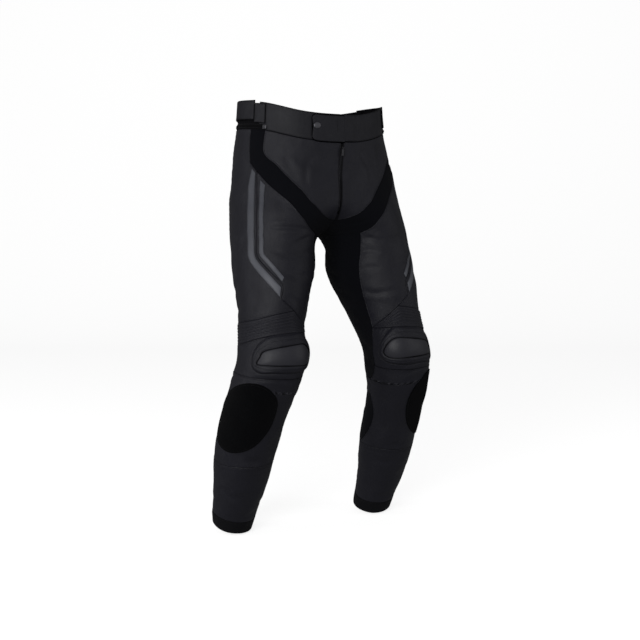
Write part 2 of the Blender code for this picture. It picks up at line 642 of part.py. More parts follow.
def tab_inset(w):
    """How far the tab's round corners draw in at its free end, on the wearer's right."""
    reach = (w + TAB_END_R) * U_METRES
    if reach >= TAB_ROUND:
        return 0.0
    return TAB_ROUND - math.sqrt(TAB_ROUND ** 2 - (TAB_ROUND - reach) ** 2)


def make_waist():
    gap_u = SEAM / U_METRES
    for side, sign in (("L", 1), ("R", -1)):
        def mine(start, end):
            places = stations(start, end)
            return places if sign > 0 else [-w for w in places[::-1]]

        strip("waistband_front_" + side, mine(gap_u, BAND_FRONT_END - gap_u),
              flat(WAIST_TOP), flat(WAIST_SEAM - SEAM), flat(0.0), BAND, "leather")
        strip("waist_elastic_" + side, mine(BAND_FRONT_END + gap_u, BAND_BACK_START - gap_u),
              flat(ELASTIC_TOP), flat(WAIST_SEAM - SEAM), flat(-0.0008), STRETCH, "elastic")
        strip("waist_strap_" + side, mine(STRAP_START, STRAP_END),
              flat(STRAP_TOP), flat(STRAP_BOTTOM), strap_lift, BAND, "leather")
        strip("strap_base_" + side, mine(BASE_START, BASE_END), flat(BASE_TOP),
              flat(BASE_BOTTOM), flat(GAP + BAND), BAND, "leather")
    back = stations(BAND_BACK_START + gap_u, 1)
    strip("waistband_back", back + [2 - w for w in back[-2::-1]],
          flat(WAIST_TOP), flat(WAIST_SEAM - SEAM), flat(0.0), BAND, "leather")
    round_back = stations(CONNECTION_START, 1)
    strip("connection_zip", round_back + [2 - w for w in round_back[-2::-1]],
          flat(CONNECTION_TOP), flat(CONNECTION_BOTTOM), flat(GAP + CONNECTION_WALL),
          CONNECTION_WALL, "zip", rows=2)
    free_end = [-TAB_END_R + TAB_ROUND / U_METRES * k for k in (0.02, 0.15, 0.4, 0.7, 1)]
    tab = free_end + [w for w in stations(-TAB_END_R, 0) if w > free_end[-1] + 0.004]
    tab.append(TAB_END_L)
    strip("waist_tab", tab, lambda w: TAB_TOP + tab_inset(w),
          lambda w: TAB_BOTTOM - tab_inset(w), flat(GAP + BAND), BAND, "leather", rows=4)


def centre_u(x):
    """The u of a point at the distance x from the centre line, above the fork."""
    return (math.sqrt(x * x + FORK_ROUND ** 2) - FORK_ROUND) / U_METRES


def make_fly():
    tape = [centre_u(FLY_TAPE_HALF * k) for k in (0.5, 1)]
    strip("fly_zip", [-tape[1], -tape[0], 0, tape[0], tape[1]], flat(FLY_TAPE_TOP),
          flat(FLY_TAPE_BOTTOM), flat(FLY_TAPE_LIFT), FLY_TAPE_WALL, "zip", rows=8)
    edge = centre_u(END_TAB["half"])
    strip("fly_end_tab", [-edge, 0, edge], flat(END_TAB["top"]), flat(END_TAB["bottom"]),
          flat(2 * GAP + END_TAB["wall"]), END_TAB["wall"], "stretch", rows=1)


# ---------------------------------------------------------------- small hardware

def placed(u, drop, lift, mirror):
    """A matrix whose -Y points out, Z up along the cloth and X round, on the cloth at a place."""
    small = 0.004
    point, normal = frame_at(np.full(3, u), np.array([drop - small, drop, drop + small]))
    flip = np.array([-1 if mirror else 1, 1, 1])
    above, here, below = [Vector(p) for p in to_fly(point * flip)]
    out = Vector(normal[1] * flip)
    up = above - below
    up = (up - out * up.dot(out)).normalized()
    base = here + out * lift
    rows = ((-out).cross(up), -out, up)
    return Matrix.Translation(base) @ Matrix(rows).transposed().to_4x4()


def block(size, centre):
    """A box mesh of a size, moved to a centre."""
    bm = bmesh.new()
    bmesh.ops.create_cube(bm, size=1)
    bmesh.ops.scale(bm, vec=size, verts=bm.verts)
    bmesh.ops.translate(bm, vec=centre, verts=bm.verts)
    return bm


def rod(radius, length, centre, sides=16):
    """A cylinder along X."""
    bm = bmesh.new()
    bmesh.ops.create_cone(bm, cap_ends=True, segments=sides, radius1=radius, radius2=radius,
                          depth=length)
    bmesh.ops.rotate(bm, cent=(0, 0, 0), matrix=Matrix.Rotation(math.pi / 2, 3, "Y"),
                     verts=bm.verts)
    bmesh.ops.translate(bm, vec=centre, verts=bm.verts)
    return bm


def hardware(name, bm, matrix, finish, target=None):
    mesh = bpy.data.meshes.new(name)
    bm.to_mesh(mesh)
    bm.free()
    obj = bpy.data.objects.new(name, mesh)
    (target or collection).objects.link(obj)
    obj.matrix_world = matrix
    if finish:
        paint(obj, finish)
    return obj


def combine(obj, bm, operation):
    """Join a tool shape to an object, or cut it away."""
    tool = hardware(obj.name + "_tool_" + str(len(obj.modifiers)), bm, obj.matrix_world, None,
                    cutters)
    tool.hide_render = True
    tool.display_type = "WIRE"
    modifier = obj.modifiers.new(operation.title(), "BOOLEAN")
    modifier.operation = operation
    modifier.object = tool


def bevel(obj, width):
    modifier = obj.modifiers.new("Bevel", "BEVEL")
    modifier.width = width
    modifier.segments = 2
    modifier.limit_method = "ANGLE"


def make_zip_slider():
    """The fly slider, with two lugs and a pin, and the pull tab that turns on the pin."""
    s, p = ZIP_SLIDER, PULL
    matrix = placed(0, s["drop"], FLY_TAPE_LIFT + GAP, False)
    body = hardware("fly_slider", block((s["width"], s["height"], s["length"]),
                                        (0, -s["height"] / 2, 0)), matrix, "metal")
    bevel(body, s["bevel"])
    pin_out = -s["height"] - s["pin_height"]
    lug_middle = -s["height"] - s["lug_height"] / 2 + s["bevel"]
    pin_up = s["length"] / 2 - s["lug_length"] / 2 - s["bevel"]
    for side in (-1, 1):
        x = side * (s["width"] - s["lug"]) / 2
        size = (s["lug"], s["lug_height"] + 2 * s["bevel"], s["lug_length"])
        combine(body, block(size, (x, lug_middle, pin_up)), "UNION")
    combine(body, rod(s["pin_radius"], s["width"] - s["lug"], (0, pin_out, pin_up)), "UNION")

    pin = matrix @ Matrix.Translation((0, pin_out, pin_up))
    pull = hardware("fly_pull", rod(p["eye_radius"], p["width"], (0, 0, 0), 20), pin, "metal")
    neck = (p["width"] * 0.98, p["thickness"], p["neck"])
    combine(pull, block(neck, (0, 0, -p["neck"] / 2)), "UNION")
    plate = (p["plate_width"], p["thickness"] * 0.98, p["plate_length"])
    combine(pull, block(plate, (0, 0, -p["neck"] * 0.9 - p["plate_length"] / 2)), "UNION")
    combine(pull, rod(p["hole_radius"], p["width"] * 3, (0, 0, 0)), "DIFFERENCE")


def make_snap():
    """A domed snap cap, turned from its profile."""
    r, h = SNAP["radius"], SNAP["height"]
    profile = [(0, h), (r * 0.45, h * 0.96), (r * 0.80, h * 0.72), (r * 0.97, h * 0.38),
               (r, h * 0.15), (r * 0.96, 0), (0, 0)]
    bm = bmesh.new()
    points = [bm.verts.new((x, 0, z)) for x, z in profile]
    for a, b in zip(points, points[1:]):
        bm.edges.new((a, b))
    lift = GAP + BAND + GAP + SEAM
    matrix = placed(SNAP["u"], SNAP["drop"], lift, True) @ Matrix.Rotation(math.pi / 2, 4, "X")
    snap = hardware("snap_button", bm, matrix, "metal")
    turn = snap.modifiers.new("Screw", "SCREW")
    turn.angle = 2 * math.pi
    turn.steps = turn.render_steps = 24
    turn.use_merge_vertices = True
    turn.merge_threshold = 0.00005
    turn.use_normal_calculate = False


def make_stop():
    """The box that ends the jacket-connection zip, on the wearer's right."""
    matrix = placed(STOP["u"], STOP["drop"], GAP + SEAM, True)
    round_, high, thick = STOP["size"]
    stop = hardware("connection_zip_stop", block((round_, thick, high), (0, -thick / 2, 0)),
                    matrix, "metal")
    bevel(stop, STOP["bevel"])


# ---------------------------------------------------------------- start

for old in list(bpy.data.objects):
    bpy.data.objects.remove(old, do_unlink=True)
collection = bpy.data.collections.new(OBJECT_NAME)
bpy.context.scene.collection.children.link(collection)
cutters = bpy.data.collections.new("cutters")
bpy.context.scene.collection.children.link(cutters)

sewn_on = {name: [] for name in PANELS}
for stripe, (base, outer_edge, inner_edge) in STRIPES.items():
    sewn_on[base].append((stripe, stripe_outline(outer_edge, inner_edge), STRIPE, "stripe"))
sewn_on["shin_upper"].append(("knee_slider_patch", slider_outline(), PATCH, "patch"))
for panel in PANELS:
    make_panel(panel, sewn_on[panel])
make_waist()
make_fly()
make_zip_slider()
make_snap()
make_stop()
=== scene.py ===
import math
import bmesh
import bpy
import numpy as np
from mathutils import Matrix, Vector


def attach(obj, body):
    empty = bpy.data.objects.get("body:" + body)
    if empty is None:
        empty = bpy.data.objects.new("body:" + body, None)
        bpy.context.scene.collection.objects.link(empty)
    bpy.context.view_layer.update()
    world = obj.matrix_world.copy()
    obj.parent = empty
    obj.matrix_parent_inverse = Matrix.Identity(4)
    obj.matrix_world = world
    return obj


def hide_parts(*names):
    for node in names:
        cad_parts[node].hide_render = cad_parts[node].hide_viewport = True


# Leather motorcycle trousers, standing as if worn. Metres, +Z up, the wearer faces -Y and the
# wearer's left is +X. A place on the cloth is (u, drop): u runs from the centre front (0) round
# the outer side to the centre back (1), drop is the height below the waist.

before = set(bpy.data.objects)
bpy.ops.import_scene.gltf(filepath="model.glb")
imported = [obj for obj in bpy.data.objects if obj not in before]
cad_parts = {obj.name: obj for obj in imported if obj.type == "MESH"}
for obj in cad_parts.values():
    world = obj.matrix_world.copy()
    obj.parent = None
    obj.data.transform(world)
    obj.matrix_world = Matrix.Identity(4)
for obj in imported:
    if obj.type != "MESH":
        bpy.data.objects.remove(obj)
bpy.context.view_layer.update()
print("frame loaded")

detail = {"step": 0.0044, "acrossShare": 1.1, "bandStep": 0.0030, "stitchPitch": 0.0042,
          "creaseDepth": 0.85}


# The cloth's surface

# One row a section: sizes in metres, the leans as slopes, square as a power, turn in
# degrees.
sectionNames = ("drop", "outer", "inner", "midY", "front", "back", "leanY", "leanX",
                "square", "turn")
sectionRows = np.array((
    (-0.022, 0.163, -0.163, 0.005, 0.119, 0.116, 0.04, 0.00, 2.15, 0),
    (0.030, 0.167, -0.164, 0.005, 0.122, 0.120, 0.05, 0.00, 2.15, 0),
    (0.095, 0.178, -0.133, 0.000, 0.125, 0.130, 0.05, 0.00, 2.15, 0),
    (0.160, 0.187, -0.086, -0.009, 0.123, 0.134, 0.02, 0.00, 2.10, 0),
    (0.210, 0.193, -0.022, -0.020, 0.118, 0.126, -0.04, 0.02, 2.10, 0),
    (0.255, 0.198, 0.030, -0.031, 0.109, 0.113, -0.08, 0.03, 2.10, 0),
    (0.320, 0.202, 0.040, -0.046, 0.102, 0.100, -0.14, 0.05, 2.10, 6),
    (0.385, 0.205, 0.058, -0.066, 0.094, 0.090, -0.16, 0.07, 2.10, 11),
    (0.450, 0.209, 0.078, -0.085, 0.084, 0.076, -0.10, 0.09, 2.10, 10),
    (0.500, 0.217, 0.087, -0.102, 0.080, 0.067, 0.02, 0.09, 2.20, 6),
    (0.545, 0.226, 0.094, -0.098, 0.078, 0.062, 0.14, 0.09, 2.20, 6),
    (0.600, 0.235, 0.106, -0.080, 0.067, 0.058, 0.26, 0.08, 2.10, 8),
    (0.665, 0.241, 0.112, -0.052, 0.061, 0.056, 0.30, 0.07, 2.00, 10),
    (0.745, 0.241, 0.119, -0.020, 0.058, 0.052, 0.30, 0.07, 2.00, 10),
    (0.825, 0.233, 0.130, 0.011, 0.051, 0.046, 0.30, 0.08, 2.00, 10),
    (0.892, 0.224, 0.138, 0.038, 0.042, 0.041, 0.30, 0.08, 2.00, 10),
))
body = {"fork": 0.255, "forkRound": 0.030, "turnFade": 0.050, "frontDip": 0.022,
        "backDip": 0.016, "dipSpread": 0.38, "dipFade": (0.030, 0.150)}
flyShift = {"x": 0.012, "halfWidth": 0.085, "y": -0.035, "yFade": 0.050, "z": -0.140,
            "zFade": 0.085}
kneeRise = {"u": 0.13, "drop": 0.487, "halfU": 0.17, "halfDrop": 0.055, "height": 0.011}


def splineBends(table):
    # Second derivatives of the natural cubic spline through each column of the table.
    drops = table[:, 0]
    step = np.diff(drops)
    matrix = np.eye(len(drops))
    right = np.zeros(table.shape)
    for i in range(1, len(drops) - 1):
        matrix[i, i - 1:i + 2] = step[i - 1], 2 * (step[i - 1] + step[i]), step[i]
        rise = (table[i + 1] - table[i]) / step[i]
        right[i] = 6 * (rise - (table[i] - table[i - 1]) / step[i - 1])
    return np.linalg.solve(matrix, right)


sectionBends = splineBends(sectionRows)


def sectionAt(drop):
    # The natural cubic spline through each column, read at every drop.
    drops = sectionRows[:, 0]
    k = np.clip(np.searchsorted(drops, drop) - 1, 0, len(drops) - 2)
    span = (drops[k + 1] - drops[k])[..., None]
    above = (drop - drops[k])[..., None]
    below = (drops[k + 1] - drop)[..., None]
    value = (sectionBends[k] * below ** 3 + sectionBends[k + 1] * above ** 3) / (6 * span)
    value = value + (sectionRows[k] / span - sectionBends[k] * span / 6) * below
    value = value + (sectionRows[k + 1] / span - sectionBends[k + 1] * span / 6) * above
    return {name: value[..., i] for i, name in enumerate(sectionNames)}


def ease(x):
    # 3x^2 - 2x^3 between 0 and 1, level on both sides.
    x = np.clip(x, 0, 1)
    return x * x * (3 - 2 * x)


def surface(u, drop):
    # A super-ellipse section, tipped and turned, whose half ends on the plane x = 0 above the
    # fork: x is the square root of the section's x squared less the fork's round squared.
    u, drop = np.broadcast_arrays(np.asarray(u, float), np.asarray(drop, float))
    s = sectionAt(drop)
    centre = (s["outer"] + s["inner"]) / 2
    half = (s["outer"] - s["inner"]) / 2
    power = 2 / s["square"]
    cut = np.clip((centre - body["forkRound"]) / half, -1, 1)
    start = np.arccos(np.sign(cut) * np.abs(cut) ** (1 / power))
    angle = np.pi + start + u * (2 * np.pi - 2 * start)
    side = half * np.sign(np.cos(angle)) * np.abs(np.cos(angle)) ** power
    depth = np.where(np.sin(angle) < 0, s["front"], s["back"])
    along = depth * np.sign(np.sin(angle)) * np.abs(np.sin(angle)) ** power
    turn = np.radians(s["turn"]) * ease((drop - body["fork"]) / body["turnFade"])
    xOff = side * np.cos(turn) - along * np.sin(turn)
    yOff = side * np.sin(turn) + along * np.cos(turn)
    x = np.sqrt(np.maximum((centre + xOff) ** 2 - body["forkRound"] ** 2, 0))
    y = s["midY"] + yOff
    z = -drop + s["leanY"] * yOff + s["leanX"] * xOff
    front = body["frontDip"] * (1 + np.cos(np.pi * np.clip(u / body["dipSpread"], 0, 1))) / 2
    back = body["backDip"] * (1 - np.cos(np.pi * np.clip(2 * u - 1, 0, 1))) / 2
    low, high = body["dipFade"]
    z = z - (front + back) * ease((high - drop) / (high - low))
    return np.stack([x, y, z], -1)


def toFly(points):
    # Moves the front's middle to the wearer's left by a cosine squared, where the fly closes.
    t = flyShift
    x, y, z = points[:, 0], points[:, 1], points[:, 2]
    move = t["x"] * np.cos(np.pi / 2 * np.clip(x / t["halfWidth"], -1, 1)) ** 2
    move = move * ease((t["y"] - y) / t["yFade"]) * ease((z - t["z"]) / t["zFade"])
    return points + np.stack([move, move * 0, move * 0], -1)


def frameAt(u, drop, side=1):
    # The place and its outward normal, from the cross product of the two tangents.
    u, drop = np.asarray(u, float), np.asarray(drop, float)
    smallU, smallDrop = 0.002, 0.001
    openTop = drop <= body["fork"]
    low = np.where(openTop, np.maximum(u - smallU, 0), u - smallU)
    high = np.where(openTop, np.minimum(u + smallU, 1), u + smallU)
    point = surface(u, drop)
    around = surface(high, drop) - surface(low, drop)
    down = surface(u, drop + smallDrop) - surface(u, drop - smallDrop)
    normal = np.cross(around, down)
    onPlane = openTop & ((u < 1e-6) | (u > 1 - 1e-6))
    normal[onPlane, 0] = 0
    normal /= np.linalg.norm(normal, axis=-1, keepdims=True)
    s = sectionAt(drop)
    middle = np.stack([(s["outer"] + np.maximum(s["inner"], 0)) / 2, s["midY"], -drop], -1)
    outward = np.where((normal * (point - middle)).sum(-1) < 0, -1.0, 1.0)
    normal *= outward[..., None]
    across = ((u + 0.5) % 1.0 - 0.5 - kneeRise["u"]) / kneeRise["halfU"]
    reach = across ** 2 + ((drop - kneeRise["drop"]) / kneeRise["halfDrop"]) ** 2
    point = point + normal * (kneeRise["height"] * ease(1 - np.sqrt(reach)))[..., None]
    mirror = np.array([side, 1, 1])
    return point * mirror, normal * mirror


girthRows = ((-0.03, 0.16, 0.30, 0.45, 0.52, 0.60, 0.70, 0.80, 0.893),
             (0.465, 0.523, 0.589, 0.476, 0.449, 0.416, 0.393, 0.337, 0.270))


def girthAt(drop):
    # Metres of cloth per unit of u.
    return np.interp(drop, *girthRows)


# Creases, folds and the soft unevenness of the cloth

# whose (1 the wearer's left, -1 the right, 0 both), half width, depth, then the path in
# (u, drop). A crease is a soft trough with a low ridge beside it.
creases = (
    (-1, 0.0055, 0.0022, (0.320, 0.247), (0.245, 0.246), (0.165, 0.250)),
    (-1, 0.0050, 0.0020, (0.245, 0.284), (0.212, 0.273), (0.172, 0.263)),
    (-1, 0.0060, 0.0012, (0.330, 0.295), (0.250, 0.310), (0.170, 0.300)),
    (-1, 0.0070, 0.0012, (0.280, 0.345), (0.200, 0.352), (0.120, 0.345)),
    (-1, 0.0060, 0.0014, (0.230, 0.392), (0.160, 0.402), (0.100, 0.420)),
    (1, 0.0055, 0.0022, (0.145, 0.268), (0.180, 0.271), (0.225, 0.288)),
    (1, 0.0060, 0.0016, (0.090, 0.339), (0.125, 0.333), (0.175, 0.336)),
    (1, 0.0055, 0.0022, (0.058, 0.378), (0.115, 0.388), (0.215, 0.386)),
    (1, 0.0065, 0.0012, (0.330, 0.262), (0.260, 0.275), (0.200, 0.272)),
    (1, 0.0060, 0.0012, (0.240, 0.330), (0.300, 0.322), (0.350, 0.330)),
    (0, 0.0050, 0.0016, (0.110, 0.300), (0.150, 0.296), (0.190, 0.303)),
    (0, 0.0065, 0.0014, (0.060, 0.060), (0.100, 0.100), (0.105, 0.150)),
    (-1, 0.0080, 0.0010, (0.170, 0.052), (0.190, 0.085), (0.160, 0.118)),
    (1, 0.0080, 0.0010, (0.200, 0.050), (0.180, 0.080), (0.190, 0.110)),
    (0, 0.0045, 0.0013, (0.020, 0.236), (0.080, 0.236), (0.135, 0.222)),
    (0, 0.0045, 0.0011, (0.010, 0.247), (0.070, 0.250), (0.120, 0.244)),
    (-1, 0.0050, 0.0014, (0.300, 0.090), (0.330, 0.096), (0.385, 0.088)),
    (1, 0.0050, 0.0014, (0.310, 0.096), (0.345, 0.100), (0.390, 0.092)),
    (-1, 0.0080, 0.0016, (0.470, 0.130), (0.520, 0.150), (0.590, 0.146)),
    (1, 0.0080, 0.0016, (0.450, 0.150), (0.510, 0.164), (0.585, 0.156)),
    (-1, 0.0080, 0.0014, (0.440, 0.235), (0.500, 0.262), (0.580, 0.262)),
    (1, 0.0080, 0.0014, (0.450, 0.250), (0.520, 0.270), (0.590, 0.276)),
    (0, 0.0075, 0.0016, (0.450, 0.352), (0.520, 0.370), (0.590, 0.372)),
    (-1, 0.0065, 0.0016, (0.430, 0.400), (0.510, 0.412), (0.600, 0.414)),
    (1, 0.0065, 0.0016, (0.410, 0.392), (0.500, 0.406), (0.590, 0.400)),
    (0, 0.0050, 0.0018, (0.375, 0.538), (0.270, 0.5345), (0.165, 0.540)),
    (0, 0.0055, 0.0014, (0.350, 0.548), (0.270, 0.5455), (0.190, 0.552)),
    (-1, 0.0050, 0.0014, (0.490, 0.548), (0.540, 0.556), (0.600, 0.552)),
    (1, 0.0050, 0.0014, (0.500, 0.556), (0.550, 0.562), (0.600, 0.560)),
    (0, 0.0050, 0.0016, (0.090, 0.545), (0.050, 0.560), (0.010, 0.575)),
    (0, 0.0050, 0.0015, (0.100, 0.562), (0.060, 0.580), (0.010, 0.592)),
    (-1, 0.0090, 0.0024, (0.205, 0.700), (0.245, 0.709), (0.285, 0.702)),
    (1, 0.0080, 0.0022, (0.165, 0.700), (0.200, 0.707), (0.240, 0.708)),
    (1, 0.0028, 0.0026, (0.080, 0.605), (0.098, 0.636), (0.115, 0.668)),
    (-1, 0.0028, 0.0018, (0.080, 0.605), (0.098, 0.636), (0.112, 0.660)),
    (-1, 0.0080, 0.0016, (0.170, 0.655), (0.130, 0.690), (0.120, 0.712)),
    (-1, 0.0070, 0.0014, (0.180, 0.745), (0.120, 0.760), (0.050, 0.752)),
    (1, 0.0070, 0.0014, (0.230, 0.742), (0.150, 0.752), (0.060, 0.748)),
    (-1, 0.0080, 0.0016, (0.420, 0.788), (0.330, 0.802), (0.240, 0.796)),
    (1, 0.0080, 0.0014, (0.380, 0.780), (0.300, 0.790), (0.200, 0.786)),
    (0, 0.0070, 0.0014, (0.300, 0.838), (0.200, 0.846), (0.100, 0.840)),
    (-1, 0.0070, 0.0012, (0.140, 0.812), (0.060, 0.822), (0.000, 0.818)),
    (0, 0.0060, 0.0013, (0.560, 0.826), (0.480, 0.842), (0.400, 0.838)),
    (0, 0.0075, 0.0034, (0.640, 0.512), (0.760, 0.524), (0.900, 0.513)),
    (-1, 0.0070, 0.0034, (0.620, 0.537), (0.750, 0.548), (0.900, 0.535)),
    (1, 0.0070, 0.0034, (0.630, 0.541), (0.770, 0.546), (0.905, 0.538)),
    (0, 0.0065, 0.0030, (0.640, 0.566), (0.780, 0.572), (0.915, 0.560)),
    (0, 0.0060, 0.0022, (0.660, 0.588), (0.790, 0.592), (0.900, 0.586)),
    (-1, 0.0085, 0.0026, (0.640, 0.462), (0.740, 0.476), (0.860, 0.468)),
    (1, 0.0085, 0.0026, (0.640, 0.470), (0.760, 0.478), (0.870, 0.462)),
    (0, 0.0080, 0.0022, (0.660, 0.430), (0.760, 0.444), (0.870, 0.436)),
    (-1, 0.0100, 0.0020, (0.960, 0.262), (0.880, 0.300), (0.780, 0.312)),
    (1, 0.0100, 0.0020, (0.955, 0.262), (0.870, 0.292), (0.760, 0.300)),
    (-1, 0.0090, 0.0018, (0.930, 0.272), (0.860, 0.332), (0.760, 0.352)),
    (1, 0.0090, 0.0018, (0.930, 0.275), (0.850, 0.322), (0.740, 0.338)),
    (0, 0.0090, 0.0016, (0.985, 0.232), (0.900, 0.250), (0.780, 0.246)),
    (0, 0.0100, 0.0014, (0.980, 0.120), (0.900, 0.140), (0.800, 0.130)),
    (-1, 0.0080, 0.0016, (0.900, 0.385), (0.820, 0.400), (0.740, 0.392)),
    (1, 0.0080, 0.0016, (0.905, 0.372), (0.820, 0.388), (0.730, 0.384)),
    (0, 0.0060, 0.0020, (0.920, 0.280), (0.990, 0.305), (1.080, 0.288)),
    (0, 0.0060, 0.0020, (0.920, 0.320), (1.000, 0.345), (1.070, 0.330)),
    (0, 0.0060, 0.0018, (0.925, 0.365), (1.000, 0.385), (1.065, 0.378)),
    (0, 0.0060, 0.0020, (0.930, 0.430), (0.990, 0.445), (1.060, 0.432)),
    (0, 0.0060, 0.0022, (0.930, 0.480), (0.990, 0.492), (1.040, 0.486)),
    (0, 0.0060, 0.0022, (0.940, 0.515), (0.980, 0.527), (1.020, 0.522)),
    (0, 0.0070, 0.0016, (0.640, 0.640), (0.760, 0.652), (0.920, 0.640)),
    (0, 0.0070, 0.0016, (0.650, 0.700), (0.770, 0.712), (0.900, 0.702)),
    (-1, 0.0070, 0.0018, (0.640, 0.800), (0.740, 0.815), (0.860, 0.806)),
    (1, 0.0070, 0.0018, (0.650, 0.812), (0.750, 0.822), (0.850, 0.816)),
)

# Slow waves through space: mean length, height and how many.
unevenness = ((0.110, 0.0011, 5), (0.055, 0.0005, 6), (0.024, 0.00016, 6))


def crease(u, drop, width, depth, path):
    # Nearest distance x to the path gives -exp(-(x/w)^2) with a ridge at 1.7 w on one side
    # and a lower one on the other, fading to nothing at both ends.
    path = np.array(path)
    start = path[0]
    cloth = np.stack([((u - start[0] + 0.5) % 1.0 - 0.5) * girthAt(drop), drop - start[1]], -1)
    line = np.stack([(path[:, 0] - start[0]) * girthAt(path[:, 1]), path[:, 1] - start[1]], -1)
    lengths = np.linalg.norm(np.diff(line, axis=0), axis=1)
    total, gone = lengths.sum(), 0.0
    nearest = np.full(u.shape, 9.0)
    signed, place = np.zeros(u.shape), np.zeros(u.shape)
    for a, b, length in zip(line[:-1], line[1:], lengths):
        way = (b - a) / length
        off = cloth - a
        reach = np.clip(off @ way, 0, length)
        gap = off - reach[..., None] * way
        distance = np.sqrt((gap ** 2).sum(-1))
        turn = np.sign(way[0] * gap[..., 1] - way[1] * gap[..., 0])
        closer = distance < nearest
        signed = np.where(closer, distance * turn, signed)
        place = np.where(closer, (gone + reach) / total, place)
        nearest = np.minimum(nearest, distance)
        gone += length
    x = signed / width
    shape = (-np.exp(-x ** 2) + 0.55 * np.exp(-((x - 1.7) / 1.1) ** 2)
             + 0.25 * np.exp(-((x + 1.9) / 1.2) ** 2))
    return detail["creaseDepth"] * depth * shape * np.sqrt(np.clip(4 * place * (1 - place), 0, 1))


def creaseField(u, drop, side):
    # The sum of the creases that this leg has.
    total = np.zeros(u.shape)
    for whose, width, depth, *path in creases:
        if whose in (0, side):
            total += crease(u, drop, width, depth, path)
    return total


def makeWaves():
    # Rows of wave vector, phase and height, drawn once.
    random = np.random.default_rng(11)
    rows = []
    for length, height, count in unevenness:
        way = random.normal(size=(count, 3))
        way /= np.linalg.norm(way, axis=1, keepdims=True)
        scale = length * random.uniform(0.75, 1.3, (count, 1))
        rows.append(np.hstack([way * 2 * np.pi / scale, random.uniform(0, 6.3, (count, 1)),
                               np.full((count, 1), height / math.sqrt(count))]))
    return np.vstack(rows)


waves = makeWaves()


def waveField(point):
    # The sum of sine waves through space, each with its own direction, length and phase.
    total = np.zeros(point.shape[:-1])
    for x, y, z, phase, height in waves:
        total += height * np.sin(point @ np.array([x, y, z]) + phase)
    return total


# Seams, shared by the pieces on their two sides

